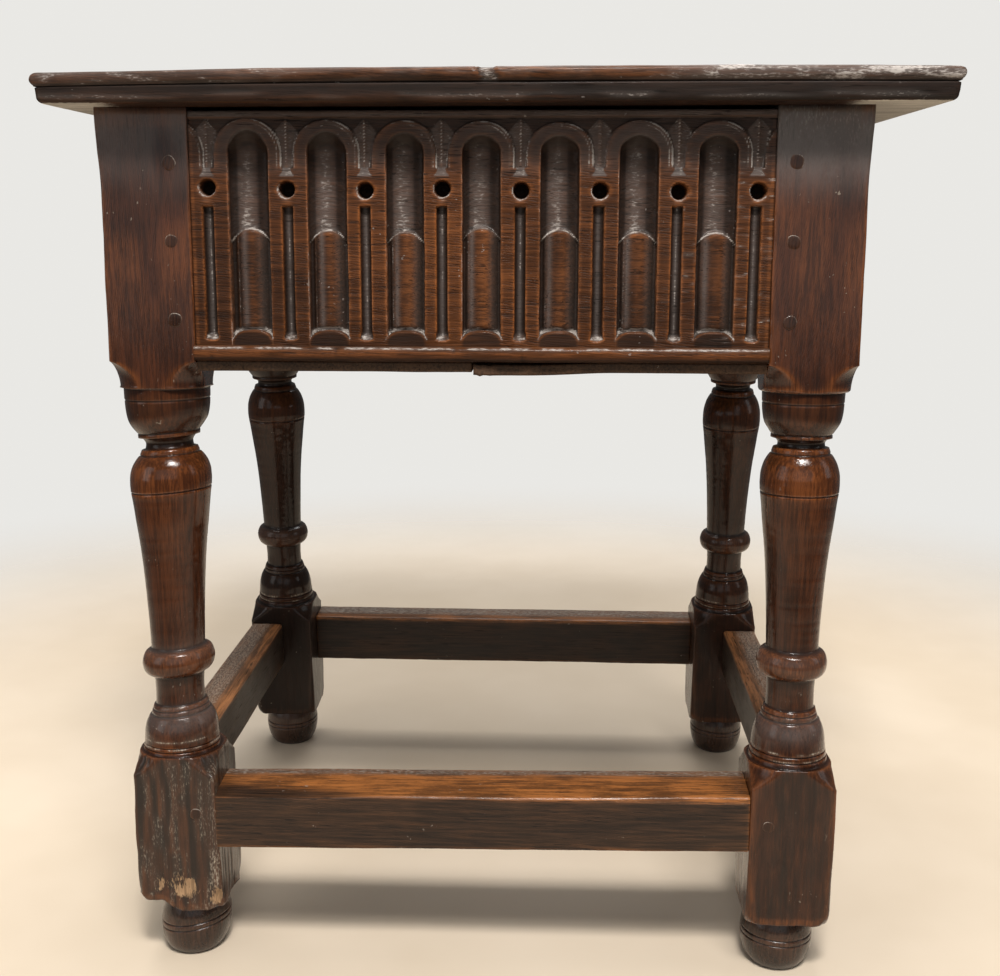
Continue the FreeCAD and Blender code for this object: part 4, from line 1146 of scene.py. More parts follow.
def carved(u, v):
    """The whole arcade: a flute in each bay, a slot between them, and half arches at both ends."""
    face = Carving(u, v)
    bays = len(flute_widths)
    for index in range(-1, bays + 1):
        inside = 0 <= index < bays
        nearest = min(max(index, 0), bays - 1)
        shift = bay_shifts[index] if inside else 0
        half = flute_widths[nearest] / 2
        across = u - arcade_offset - (index - 3) * bay_pitch - shift + 0.6 * face.wander
        cut_arch_line(face, across, half, arch_crowns[nearest])
        if inside:
            crowns = flute_crowns[index], reed_crowns[index]
            cut_flute(face, across, half, crowns, 0.56 - 0.06 * abs(index - 3))
    cut_ground(face)
    for index, shift in enumerate(hole_shifts):
        across = u - arcade_offset - (index - 3.5) * bay_pitch - shift + 0.4 * face.wander
        cut_slot_hole_and_leaf(face, across, hole_offsets[index], hole_heights[index])
    grooves = 0.12 * np.clip(noise(face.spot, (22, 0.8, 1), 44) - 0.2, 0, 1)
    grooves = grooves + 0.05 * noise(face.spot, (9, 1.3, 1), 45)
    face.depth = face.depth + grooves + 0.12 * noise(face.spot, 12, 46) + 0.12
    # Painted shade along the top edge of the carving. The margin above it, in the lid's shadow, is lightened
    # with painted sheen and dust.
    shade = ramp(v - ground_top + 1, 2) * (0.5 - 0.4 * ramp(v - ground_top - 0.6, 1))
    face.mark("soot", shade)
    face.mark("haze", 0.75 * ramp(v - ground_top - 0.6, 1) + 0.2 * hill(v - 139, 6))
    bands = ramp(1.0 - face.depth, 0.5) * ramp(v - 114, 22) * (1 - ramp(v - ground_top, 1))
    face.mark("haze", 0.6 * bands * (0.8 + 0.5 * noise(face.spot, (30, 9, 1), 52)))
    face.mark("dust", 0.2 * ramp(v - ground_top - 0.6, 1))
    scratches = ramp(noise(face.spot, (6, 0.8, 1), 53) - 0.42, 0.4) * ramp(u - 112, 40)
    scratches = scratches * ramp(0.8 - face.depth, 0.5)
    face.mark("dust", 0.4 * scratches * ramp(ground_top - 18 - v, 4))
    # A warm lighter patch in the middle of the rail (glow), and darker towards both ends.
    glow = hill(u + 10, 42) * ramp(104 - v, 40) * (0.6 + 0.5 * noise(face.spot, (26, 14, 1), 51))
    face.mark("rub", 0.2 * glow * ramp(0.6 - face.depth, 0.4))
    face.mark("soot", 0.24 * ramp(np.abs(u + 6) - 70, 110) * ramp(0.8 - face.depth, 0.6))
    return face.depth, face.marks


def face_columns():
    """Places of the columns along the carved face, crowded at the edges of flutes, reeds, slots and holes."""
    middles = arcade_offset + (np.arange(7) - 3) * bay_pitch + np.array(bay_shifts)
    halves = np.array(flute_widths) / 2
    holes = arcade_offset + (np.arange(8) - 3.5) * bay_pitch + np.array(hole_shifts)
    pairs = ((middles, halves), (middles, reed_half), (holes, slot_half))
    edges = np.concatenate([middle + sign * half for middle, half in pairs for sign in (-1, 1)])

    def density(x):
        return 1.0 + 1.1 * np.exp(-(((x[:, None] - edges) / 1.3) ** 2)).sum(1)

    return graded(-rail_span / 2 + joint_gap, rail_span / 2 - joint_gap, 452, density)


def face_rows():
    """Heights of the rows over the carved face, crowded at its feet, reed crowns and arches."""

    def density(v):
        feet = 0.9 * ramp(v - 7.5, 4) * ramp(25 - v, 4)
        arches = ramp(v - 89, 6) * ramp(143 - v, 3)
        return 0.62 + feet + 0.7 * hill(v - 77, 7) + arches

    return graded(0, rail_height, 186, density)


def make_front_rail():
    """Front rail: at every column, a loop up the carved face and down the plain back."""
    columns, rows = face_columns(), face_rows()
    u, v = np.meshgrid(columns, rows, indexing="ij")
    depth, marks = carved(u, v)
    face = np.stack([u, rail_setback + depth, v], -1)

    def behind(depths, heights):
        """Points behind the face, the same for every column."""
        return np.stack(np.broadcast_arrays(columns[:, None], depths, heights), -1)

    back = behind(rail_setback + rail_thickness, np.linspace(rail_height, 0, 13))
    top = behind(rail_setback + np.array([4.0, 12.0, 20.0]), rail_height)
    points = np.concatenate([face, top, back], 1)
    extra = points.shape[1] - face.shape[1]
    inner = np.concatenate([np.zeros(face.shape[1]), [0.3, 0.5, 0.8], np.ones(extra - 3)])
    given = {key: np.pad(np.clip(value, 0, 1), ((0, 0), (0, extra))) for key, value in marks.items()}
    given["dry"] = np.broadcast_to(inner, points.shape[:2])
    points[..., 2] = points[..., 2] + along(rail_bottom)
    ends = []
    for column, direction in ((0, -1), (-1, 1)):
        near = points[column].copy()
        near[:, 1] = np.clip(near[:, 1], tenon_setback, tenon_setback + rail_tenon_thickness)
        foot, head = along(rail_bottom + rail_tenon_foot), along(rail_top - rail_tenon_haunch)
        near[:, 2] = np.clip(near[:, 2], foot, head)
        far = near.copy()
        far[:, 0] += direction * rail_tenon_length
        ends.append((near, far))
    given = with_end_marks(given, points.shape[:2])
    points = with_ends(points, ends)
    piece = Piece("front_rail_carved")
    piece.tube(stand(points, False), 4, 0.35, **given)
    piece.finish("frame", rail_oak, ("front_rail",), "oak_frame")


def plain_rail_marks(height):
    """Marks of a plain rail: bare inside, darker towards the top under the lid."""

    def marks(s, u, v):
        inner = ramp(u - rail_setback - rail_thickness + 1.5, 1.0)
        return {"dry": inner, "soot": 0.5 * ramp(v - height + 8, 14) * (1 - inner)}

    return marks


def make_plain_rails():
    """Back and side rails: plain bars with a hand-planed face."""
    low_tenon, high_tenon = rail_tenon_foot, rail_height - rail_tenon_haunch
    far, arrises = rail_setback + rail_thickness, [(0.8, 0.8)] * 4
    tenon = (tenon_setback, tenon_setback + rail_tenon_thickness)
    piece = Piece("back_rail_planed")
    make_bar(
        piece, (rail_setback, 0), (far, rail_height), front_reach, arrises,
        place_end(True, rail_bottom), 110, 51,
        (*tenon, low_tenon, high_tenon, rail_tenon_length), plain_rail_marks(rail_height), 30, dress=0.35,
    )
    piece.finish("frame", rail_oak, ("back_rail",), "oak_frame")
    for name, side, seed in (("left", -1, 52), ("right", 1, 53)):
        piece = Piece(name + "_rail_planed")
        make_bar(
            piece, (rail_setback, rail_bottom), (far, rail_top), side_reach, arrises,
            place_side(side), 90, seed,
            (*tenon, rail_bottom + low_tenon, rail_bottom + high_tenon, rail_tenon_length),
            plain_rail_marks(rail_top), 30, dress=0.35,
        )
        piece.finish("frame", side_rail_oak, (name + "_rail",), "oak_frame")


def bead_loop(count):
    """Loop round the bead, u outwards and v up: a squarish half round on the flat against the rail.

    Its face is a superellipse: the sum of the cubes of its two shares is one.
    """
    turn = np.radians(np.linspace(-90, 90, 27))
    power = 2 / 3
    u = (bead_projection - 0.2) * np.abs(np.cos(turn)) ** power
    v = bead_height / 2 * (1 + np.sign(turn) * np.abs(np.sin(turn)) ** power)
    back = np.array([[0.0, 0.75], [0.0, 0.5], [0.0, 0.25]]) * bead_height
    loop = np.concatenate([np.stack([u, v], -1), back])
    return np.broadcast_to(loop, (count, *loop.shape))


def make_bead(name, reach, place, base, material, seed):
    """Bead along the lower edge of a rail, at the base: its loop carried along, with dents and waves."""
    rows = 220
    loop = bead_loop(rows)
    share = np.linspace(-1, 1, rows)[:, None]
    u, v = loop[..., 0], loop[..., 1]
    s = share * reach(base + v)
    spot = np.stack([s, u, v], -1)
    out = ramp(u - 1.5, 2)
    u = u - out * 0.5 * np.clip(noise(spot, (14, 4, 4), seed) - 0.15, 0, 1)
    u = u - out * 1.2 * np.clip(noise(spot, (5, 5, 5), seed + 1) - 0.55, 0, 1)
    v = v + 0.18 * noise(spot, (40, 30, 30), seed + 2)
    # Painted shade at the back of the bead, where it meets the rail, and on its lower half, over a slight
    # darkening all round.
    soot = 0.9 * ramp(1.6 - u, 1.2) + 0.7 * ramp(3.2 - v, 4) + 0.15
    rub = 0.25 * hill(v - 5.0, 2.2) * out
    dust = 0.6 * hill(v - bead_height + 1.3, 0.9) * out
    dust = dust * ramp(noise(spot, (9, 3, 3), seed + 3) + 0.4, 0.8)
    piece = Piece(name + "_bead_run")
    piece.tube(place(s, rail_setback - u, base + v), 5, 0.6, soot=soot, rub=rub, dust=dust)
    piece.finish("frame", material, (name + "_bead",), "oak_frame")


def make_beads():
    """Beads of all four rails."""
    for name, back, seed in (("front", False, 60), ("back", True, 61)):
        make_bead(name, front_reach, place_end(back, rail_bottom), 0, rail_oak, seed)
    for name, side, seed in (("left", -1, 61), ("right", 1, 63)):
        make_bead(name, side_reach, place_side(side), rail_bottom, side_rail_oak, seed)


# Stretchers


def make_stretchers():
    """Four stretchers. The front one is worn to a slope by feet, and the others along their inner arrises."""
    height = tie_top - tie_bottom
    tread = 27.0
    tenon_depths = (tenon_setback, tenon_setback + tie_tenon_thickness)
    tenon = (*tenon_depths, tie_tenon_shoulder, height - tie_tenon_shoulder, tie_tenon_length)
    far = tie_setback + tie_thickness

    def tread_shape(s, u, v):
        """Worn tread: the top falls towards the front, most near the left, and the bar tilts by 2.6."""
        v = v + 2.6 * s / (rail_span / 2) - 1.0
        front = np.clip((tie_setback + tread - u) / tread, 0, 1)
        deep = 3.6 + 2.2 * ramp(-s - 80, 70) + 0.5 * np.cos(s / rail_span * math.pi * 2.2)
        deep = deep + 0.3 * np.sin(s / 31)
        return u, v + ramp(v - height + 5, 6) * (1.2 - deep * front**1.3)

    def tread_marks(s, u, v):
        top = ramp(v - height + 4.6, 2.4)
        front = ramp(tie_setback + tread - 1.5 - u, 7)
        fade = ramp(rail_span / 2 - 14 - np.abs(s), 30)
        # Rubbed on top, with dust on the back of the top. A painted highlight runs along the front arris
        # towards the right, and the faces below the top get painted shade.
        return {
            "rub": top * (0.3 + 0.7 * front) * (0.4 + 0.6 * fade),
            "dust": 0.42 * top * (1 - front) + 0.3 * hill(v - height + 4.2, 0.9) * ramp(s - 60, 40),
            "soot": 0.35 * (1 - top),
        }

    def inner_marks(high):
        def marks(s, u, v):
            # Rubbed and dusty on top; painted shade on the faces below it.
            top = ramp(v - high + 2.2, 2.0)
            near = hill(u - tie_thickness + 3.5, 5)
            rub = top * (0.4 + 0.55 * near)
            return {"rub": rub, "dust": 0.5 * top * (1 - near), "soot": 0.75 * (1 - top)}

        return marks

    piece = Piece("front_stretcher_worn")
    make_bar(
        piece, (tie_setback, 0), (tie_setback + front_tie_thickness, height), front_reach,
        [(1.2, 1.2), (1.5, 1.5), (2.2, 2.2), (1.0, 1.0)], place_end(False, tie_bottom), 190, 71,
        tenon, tread_marks, 22, shape=tread_shape,
    )
    piece.finish("frame", tie_oak, ("front_stretcher",), "oak_stretcher")
    piece = Piece("back_stretcher_worn")
    make_bar(
        piece, (tie_setback, -3.4), (far, height), front_reach,
        [(1.4, 1.4), (2.4, 2.0), (1.4, 1.4), (1.2, 1.2)], place_end(True, tie_bottom), 160, 72,
        tenon, inner_marks(height), 18,
    )
    piece.finish("frame", tie_oak, ("back_stretcher",), "oak_stretcher")
    for name, side, seed in (("left", -1, 73), ("right", 1, 74)):
        piece = Piece(name + "_stretcher_worn")
        make_bar(
            piece, (tie_setback, tie_bottom), (far, tie_top), side_reach,
            [(1.2, 1.2), (3.0, 2.4), (1.4, 1.4), (1.2, 1.2)], place_side(side), 140, seed,
            (*tenon_depths, tie_bottom + tie_tenon_shoulder, tie_top - tie_tenon_shoulder, tie_tenon_length),
            inner_marks(tie_top), 18,
        )
        piece.finish("frame", side_tie_oak, (name + "_stretcher",), "oak_stretcher")


# Bottom boards

board_thickness = 6.0
seam = frame_middle - 4.0


def make_bottom_boards():
    """Two thin boards under the rails: slabs whose depth steps in at the legs."""
    reach = face_at(rail_bottom) - rail_setback
    notch = inner_face_at(rail_bottom) - 1.2
    fall, rise, flat = np.linspace(0, 1, 5)[:-1], np.linspace(1, 0, 5)[1:-1], np.ones(60)
    down = np.concatenate([fall, flat, rise, 0 * flat])[None, :]
    width, width_back = np.linspace(-1, 1, 60), np.linspace(1, -1, 60)
    across = np.concatenate([np.full(4, -1), width, np.full(3, 1), width_back])[None, :]
    for name, side in (("left", -1), ("right", 1)):
        outer = frame_middle + side * (frame_width / 2 - rail_setback - 0.2)
        inner = seam + side * 0.5
        leg_line = frame_middle + side * (rail_span / 2 - 0.6)
        beside_leg = np.linspace(outer, leg_line + side * 0.05, 16)
        x = np.concatenate([beside_leg, np.linspace(leg_line, inner, 90)])[:, None]
        half = np.where(np.abs(x - frame_middle) > rail_span / 2 - 0.58, notch, reach)
        y = across * half
        z = rail_bottom - 0.15 - down * board_thickness + 0 * x
        spot = np.stack([x + 0 * y, y, z], -1)
        z = z + 0.25 * noise(spot, (30, 90, 30), 81 + side)
        ragged = 0.6 * noise(spot, (7, 7, 7), 83 + side) - 0.4
        y = y + np.sign(across) * ramp(np.abs(across) - 0.99, 0.02) * ragged
        if side > 0:
            front = ramp(-y - reach + 26, 40)
            z = z - 1.9 * front * ramp(seam + 56 - x, 60)
            splinter = hill(x - seam - 4, 7) * ramp(-y - reach + 6, 8)
            y = y - 1.6 * splinter
            z = z - 1.3 * splinter * noise(spot, (3, 9, 9), 87)
        points = np.stack([x + 0 * y, y, z], -1)
        piece = Piece(name + "_bottom_board_sawn")
        edge = ramp(np.abs(across) - 0.985, 0.02) + 0 * x
        piece.tube(points, 4, 0.5, dry=0.85 * (1 - edge) * (0.6 + 0.4 * down), soot=0.6 * edge)
        piece.finish("frame", board_oak, (name + "_bottom_board",), "oak_inside")


# Lid

lid_thickness = 18.0
lid_band_inset = 2.0
lid_band_top = 10.0
nosing_middle = 14.4
lid_crown_places = (-250, -205, -150, -80, 120, 200, 255)
lid_crown = (-1.5, -0.6, 0.2, 0.9, 1.1, 0.7, 0.1)


def lid_profile():
    """Moulded edge from the flat of the top to the flat below: inset from the outermost line, and height."""
    nose = np.radians(np.linspace(90, -60, 17))
    reach = 3.2 * np.where(nose > 0, 1, 0.9)
    out = reach[0] - reach * np.cos(nose) - 0.32 * (nose <= 0)
    nosing = np.stack([out, nosing_middle + 3.6 * np.sin(nose)], -1)
    below = np.array([[1.6, 0.6], [2.2, 0.3], [3.0, 0.15], [3.2, -0.1], [2.7, -0.3], [2.1, -0.6]])
    quirk = below + np.array([0.0, lid_band_top])
    face = np.stack([lid_band_inset + 0.05 * np.arange(6), np.linspace(8.9, 4.4, 6)], -1)
    low = np.radians(np.linspace(0, 90, 9))
    arris = np.stack([lid_band_inset + 0.3 + 3.4 * (1 - np.cos(low)), 3.6 - 3.6 * np.sin(low)], -1)
    flat_top = np.stack([np.array([22.0, 15.0, 10.0, 7.0, 5.0]), np.full(5, lid_thickness)], -1)
    flat_low = np.stack([np.array([7.0, 9.0, 12.0, 17.0, 24.0]), np.zeros(5)], -1)
    return np.concatenate([flat_top, nosing, quirk, face, arris, flat_low])


def lid_outline(half_x, half_y, rounding):
    """Rectangle with rounded corners, walked round once from the middle of the front."""
    long_side = np.linspace(-1, 1, 260)[:-1]
    short_side = np.linspace(-1, 1, 130)[:-1]
    arc = np.linspace(0, math.pi / 2, 9)[:-1]
    parts = []
    for index, radius in enumerate(rounding):
        side = long_side if index % 2 == 0 else short_side
        run = half_x if index % 2 == 0 else half_y
        depth = half_y if index % 2 == 0 else half_x
        before = rounding[index - 1]
        places = np.interp(side, (-1, 1), (-run + before, run - radius))
        line = np.stack([places, np.full(len(side), -depth)], -1)
        bow = np.stack([run - radius + radius * np.sin(arc), -depth + radius - radius * np.cos(arc)], -1)
        turn = index * math.pi / 2
        c, s = math.cos(turn), math.sin(turn)
        both = np.concatenate([line, bow])
        parts.append(both @ np.array([[c, s], [-s, c]]))
    return np.concatenate(parts)


def make_lid():
    """Board with a moulded edge round three sides.

    Rings of the outline are drawn in by the inset of each point of the moulding and set at its
    height. Further rings close the top and the underside towards the middle.
    """
    middle = (lid_low + lid_high) / 2
    half = (lid_high - lid_low) / 2
    outline = lid_outline(half[0], half[1], (3.0, 1.2, 1.2, 4.5))
    profile = lid_profile()
    inward = np.linspace(0.0, 0.93, 26)
    x, y = outline[:, 0][None, :], outline[:, 1][None, :]
    inset, rise = profile[:, :1], profile[:, 1:]
    back_inset = np.minimum(np.clip(inset - 3.0, 0, None), 30) * ramp(inset - 4, 4)
    back_inset = back_inset + 0.4 * hill(rise - lid_thickness, 0.8) + 0.4 * hill(rise, 0.8)
    px = x * (1 - inset / half[0])
    py = np.where(y < 0, y * (1 - inset / half[1]), y * (1 - back_inset / half[1]))
    rim = np.stack([px, py, rise + 0 * x], -1)
    shrink = (1 - inward[::-1])[:, None, None]
    top = rim[:1] * np.concatenate([shrink, shrink, np.ones_like(shrink)], -1)
    low = rim[-1:] * np.concatenate([shrink[::-1], shrink[::-1], np.ones_like(shrink)], -1)
    points = np.concatenate([top[:-1], rim, low[1:]])
    first = len(top) - 1
    spot = points.copy()
    upper = ramp(points[..., 2] - lid_band_top - 0.3, 3)
    flat = ramp(points[..., 2] - 17.2, 1.2)
    waves = 0.3 * noise(spot, (70, 40, 1), 91) + 0.12 * noise(spot, (16, 9, 1), 92)
    points[..., 2] += flat * waves - 0.25 * flat
    edge = np.zeros(points.shape[:2])
    edge[first - 1 : first + len(rim)] = 1
    push = 0.35 * noise(spot, (26, 26, 9), 93) + 0.35 * np.clip(noise(spot, (9, 5, 3), 94), 0, 1)
    sign_y = np.where(points[..., 1] < 0, 1, 0) * ramp(np.abs(points[..., 1]) - half[1] + 7, 8)
    sign_x = -np.sign(points[..., 0]) * ramp(np.abs(points[..., 0]) - half[0] + 7, 8)
    push = np.clip(push, 0, 0.8)
    points[..., 1] += edge * sign_y * push
    points[..., 0] += edge * sign_x * push
    chip_x = frame_middle + 6.7 - middle[0]
    ragged = noise(spot, (2.0, 2.0, 1.6), 95)
    reach = 4.6 + 1.2 * ragged - np.abs(points[..., 0] - chip_x + 0.25 * (points[..., 2] - nosing_middle))
    near = ramp(reach, 1.2) * upper * ramp(-points[..., 1] - half[1] + 6, 6)
    points[..., 1] += near * (1.5 + 0.6 * ragged)
    points[..., 2] -= 0.7 * near * flat
    crown = np.interp(points[..., 0], lid_crown_places, lid_crown)
    points[..., 2] += crown * ramp(spot[..., 2] - lid_band_top + 1, 5) * ramp(40 - points[..., 1], 300)
    place = points + np.array([middle[0], middle[1], lid_low[2]])
    along_x = place[..., 0]
    front = ramp(-points[..., 1] - half[1] + 5, 6)
    patch = front * upper * ramp(along_x - 105, 50) * (0.6 + 0.4 * noise(spot, (30, 9, 2.2), 96))
    grey = patch * 0.52 + 0.16 * front * upper * ramp(-along_x - 120, 80)
    scratched = ramp(noise(spot, (24, 9, 3), 98) + 0.1, 0.7) * front * hill(spot[..., 2] - 3.4, 2.0)
    grey = grey + 0.3 * scratched + 0.2 * front * upper * ramp(noise(spot, (10, 6, 2), 99) - 0.4, 0.3)
    orange = front * upper * ramp(95 - along_x, 60) * ramp(along_x + 170, 120)
    # Painted shade: a dark line in the quirk, the band darker towards the right and on its upper part, and
    # painted shadow on the underside within the frame. Beyond the frame's ends the underside is pale bare
    # wood.
    under = ramp(0.35 - spot[..., 2], 0.6)
    beyond = np.abs(along_x - frame_middle) - frame_width / 2 + 12 + 5 * noise(spot, (60, 26, 1), 88)
    beyond = ramp(beyond, 30) * (0.8 + 0.25 * noise(spot, (90, 22, 1), 87))
    bare = under * (0.12 + 0.06 * noise(spot, (120, 40, 1), 86) + 0.82 * beyond)
    quirk = hill(spot[..., 2] - lid_band_top - 0.2, 0.8) * edge
    band = ramp(lid_band_top - spot[..., 2], 1.5)
    soot = (0.66 + 0.34 * ramp(along_x - 60, 120)) * edge * band * (1 - under) + quirk
    soot = soot + 0.3 * edge * ramp(spot[..., 2] - 6, 3) * band
    soot = soot + 0.35 * under * (1 - beyond)
    greyed = front * upper * (0.55 * patch + 0.1 * ramp(-along_x - 60, 90)) + 0.04 * edge * (1 - upper)
    greyed = greyed + 0.15 * front * upper * ramp(noise(spot, (18, 9, 2), 89), 0.5)
    piece = Piece("lid_board_moulded")
    dust = np.clip(grey + 0.4 * near, 0, 1)
    rub = 0.6 * orange * (0.5 + 0.5 * noise(spot, (50, 9, 4), 97))
    piece.tube(place, 6, 0.5, dry=bare, dust=dust, rub=rub, soot=soot, haze=greyed)
    piece.finish("lid", lid_oak, ("lid_board",), "oak_lid")


# Pegs, hinges and nails


def head_rows(radius, proud, shaft):
    """Half outline of a peg: a low dome over a straight shaft, as distances out and up."""
    turn = np.linspace(0.08, 1, 9)
    dome = np.stack([radius * np.sin(turn * math.pi / 2), proud * (1.0 - 0.9 * turn**3)], -1)
    side = np.array([[radius, proud * 0.1 - 0.3], [radius * 0.98, -1.2], [radius * 0.96, -shaft]])
    return np.concatenate([dome, side])


def peg_heads(piece, centres, outward, radius, seed):
    """Add a peg head at each centre, its outline eight-sided and uneven."""
    outward = np.asarray(outward, float) / np.linalg.norm(outward)
    across = np.cross(outward, (0, 0, 1.0))
    across /= np.linalg.norm(across)
    up = np.cross(across, outward)
    angle = np.linspace(0, 2 * math.pi, 41)[:-1][None, :]
    for index, centre in enumerate(centres):
        rng = np.random.default_rng(seed + index)
        rows = head_rows(radius * rng.uniform(0.93, 1.04), rng.uniform(0.15, 0.55), peg_shaft)
        sides = 1 + 0.035 * np.cos(4 * angle + rng.uniform(0, 6))
        sides = sides + 0.03 * np.cos(2 * angle + rng.uniform(0, 6))
        out = rows[:, :1] * sides
        tilt = rng.uniform(-0.05, 0.05, 2)
        lift = rows[:, 1:] + tilt[0] * out * np.cos(angle) + tilt[1] * out * np.sin(angle)
        x, y = out * np.cos(angle), out * np.sin(angle)
        points = centre + x[..., None] * across + y[..., None] * up + lift[..., None] * outward
        rim = hill(rows[:, :1] - radius, 0.5) + 0 * angle
        soot = 0.9 * ramp(-rows[:, 1:] - 0.1, 0.3) + 0 * angle
        # A painted highlight round the rim, brighter towards its upper side; the shaft below the surface is
        # darkened.
        dust = rim * (0.35 + 0.3 * np.cos(angle - rng.uniform(1, 3)))
        piece.tube(points, 3, 0.4, rub=0.3 * rim, soot=soot, dust=dust)


peg_shaft = 9.0
peg_shares = (0.15, 0.53, 0.905)
peg_run = rail_height - (rail_tenon_foot + rail_tenon_haunch)
rail_peg_heights = [rail_bottom + rail_tenon_foot + share * peg_run for share in peg_shares]
tie_peg_heights = [(tie_bottom + tie_top) / 2]


def make_pegs():
    """Pegs of all joints, where the frame has them."""
    ties = Piece("stretcher_peg_heads")
    for name, back in (("front", False), ("back", True)):
        flip = -1 if back else 1
        outward = (0, -flip * slant, math.sin(lean))
        rails = Piece(name + "_rail_peg_heads")
        x = rail_span / 2 + peg_inset
        joints = ((rail_peg_heights, rails, rail_peg_radius), (tie_peg_heights, ties, tie_peg_radius))
        for heights, piece, radius in joints:
            spots = np.array([[side * x, 0.0, along(h)] for side in (-1, 1) for h in heights])
            peg_heads(piece, stand(spots, back), outward, radius, 300 + back * 20)
        rails.finish("frame", peg_oak, (name + "_rail_pegs",), "oak_peg")
    for name, side in (("left", -1), ("right", 1)):
        rails = Piece(name + "_rail_peg_heads")
        x = frame_middle + side * frame_width / 2
        joints = ((rail_peg_heights, rails, rail_peg_radius), (tie_peg_heights, ties, tie_peg_radius))
        for heights, piece, radius in joints:
            places = [(inner_face_at(h) + peg_inset / slant, h) for h in heights]
            spots = np.array([[x, end * y, z] for end in (-1, 1) for y, z in places])
            peg_heads(piece, spots, (side, 0, 0), radius, 350 + side * 20)
        rails.finish("frame", peg_oak, (name + "_rail_pegs",), "oak_peg")
    ties.finish("frame", peg_oak, ("stretcher_pegs",), "oak_peg")


def wire_along(path, radius, count=14):
    """Tube along a path: a ring of points about each place, square to the way on."""
    path = np.asarray(path, float)
    ahead = np.gradient(path, axis=0)
    ahead /= np.linalg.norm(ahead, axis=1, keepdims=True)
    side = np.cross(ahead, (0.31, 0.27, 0.91))
    side /= np.linalg.norm(side, axis=1, keepdims=True)
    other = np.cross(ahead, side)
    angle = np.linspace(0, 2 * math.pi, count + 1)[:-1]
    ring = np.cos(angle)[None, :, None] * side[:, None] + np.sin(angle)[None, :, None] * other[:, None]
    return path[:, None] + ring * np.asarray(radius)[..., None, None]


def bent_wire(places, count):
    """A bent path as a count of places, and the steps of its index at which they lie."""
    places = np.asarray(places, float)
    index = np.arange(len(places))
    steps = np.linspace(0, len(places) - 1, count)
    return np.stack([np.interp(steps, index, places[:, k]) for k in range(3)], -1), steps


def make_hinges():
    """Iron eyes in the back rail and loops in the lid.

    Each is a wire bent to a ring, with its two ends carried off together.
    """
    inside = box("rail_hinge_eyes")[0][1]
    pin_y, pin_z = np.array(frame["joints"][0]["pos_m"])[1:] / mm
    wire, tail_wire, shank_wire = 1.5, 0.82, (1.4, 1.2, 0.75)
    eye_opening, loop_opening = 3.6, 3.4
    eye_ring, loop_ring = eye_opening + wire, loop_opening + wire
    from_leg = 39.5
    spacing = rail_span / 2 - from_leg
    thick = np.full(40, wire)
    eyes, loops = Piece("rail_hinge_eyes_forged"), Piece("lid_hinge_loops_forged")
    for side in (-1, 1):
        x = frame_middle + side * spacing
        turn = np.linspace(-math.pi + 0.32, math.pi - 0.32, 40)
        y, z = pin_y + eye_ring * np.cos(turn), pin_z + eye_ring * np.sin(turn)
        circle = np.stack([np.full(40, x), y, z], -1)
        for sign in (-1, 1):
            path = np.array([
                circle[-1] if sign > 0 else circle[0],
                [x, pin_y - eye_ring - 1.5, pin_z + sign * 1.2],
                [x, inside + 5, pin_z + sign * 0.8],
                [x, inside + 2, pin_z + sign * 0.8],
                [x + sign * 2.5, inside + 0.9, pin_z],
                [x + sign * 11, inside + 0.9, pin_z],
            ])
            eyes.tube(wire_along(bent_wire(path, 34)[0], np.full(34, tail_wire)), 2, 0.5)
        eyes.tube(wire_along(circle, thick), 2, 0.5)
        centre = pin_z + loop_ring
        turn = turn + math.pi / 2
        x_ring, z_ring = loop_ring * np.cos(turn - math.pi), loop_ring * np.sin(turn - math.pi)
        circle = np.stack([x + x_ring, np.full(40, pin_y), centre + z_ring], -1)
        loops.tube(wire_along(circle, thick), 2, 0.5)
        top = lid_high[2] - shank_wire[-1]
        shank = (
            (x, pin_y, centre + loop_ring - 0.6), (x, pin_y, leg_top + 9), (x, pin_y, top - 0.4),
            (x, pin_y - 3, top), (x, pin_y - 12, top),
        )
        path, steps = bent_wire(shank, 40)
        loops.tube(wire_along(path, np.interp(steps, (0, 3, 4), shank_wire)), 2, 0.5)
    eyes.finish("frame", iron, ("rail_hinge_eyes",), "iron")
    loops.finish("lid", iron, ("lid_hinge_loops",), "iron")


# Floor, light and camera


def make_floor():
    """Plain floor under the stool, which fades into the pale surroundings away from the middle."""
    bpy.ops.mesh.primitive_plane_add(size=4, location=(0, 0, 0))
    floor = bpy.context.object
    floor.name = "studio_floor"
    material, n, shader = new_material("pale_floor")
    place = n.add("ShaderNodeTexCoord").outputs["Object"]
    cloud = n.spread(n.grain(place, 1, 3, 4, 0.6), 0.3, 0.7)
    n.link(n.mix(cloud, (0.66, 0.55, 0.42, 1), (0.73, 0.62, 0.49, 1)), shader.inputs["Base Color"])
    distance = n.add("ShaderNodeVectorMath", operation="LENGTH")
    n.link(place, distance.inputs[0])
    n.link(n.spread(distance.outputs["Value"], 0.55, 1.3, 1.0, 0.0), shader.inputs["Alpha"])
    shader.inputs["Roughness"].default_value = 0.6
    floor.data.materials.append(material)


def softbox(name, place, aim, width, height, power, tint=(1, 1, 1)):
    """Area light that faces a point."""
    light = bpy.data.lights.new(name, "AREA")
    light.shape = "RECTANGLE"
    light.size, light.size_y = width, height
    light.energy = power
    light.color = tint
    lamp = bpy.data.objects.new(name, light)
    lamp.location = place
    way = np.array(aim, float) - np.array(place, float)
    lamp.rotation_mode = "QUATERNION"
    lamp.rotation_quaternion = Vector(way).to_track_quat("-Z", "Y")
    bpy.context.scene.collection.objects.link(lamp)


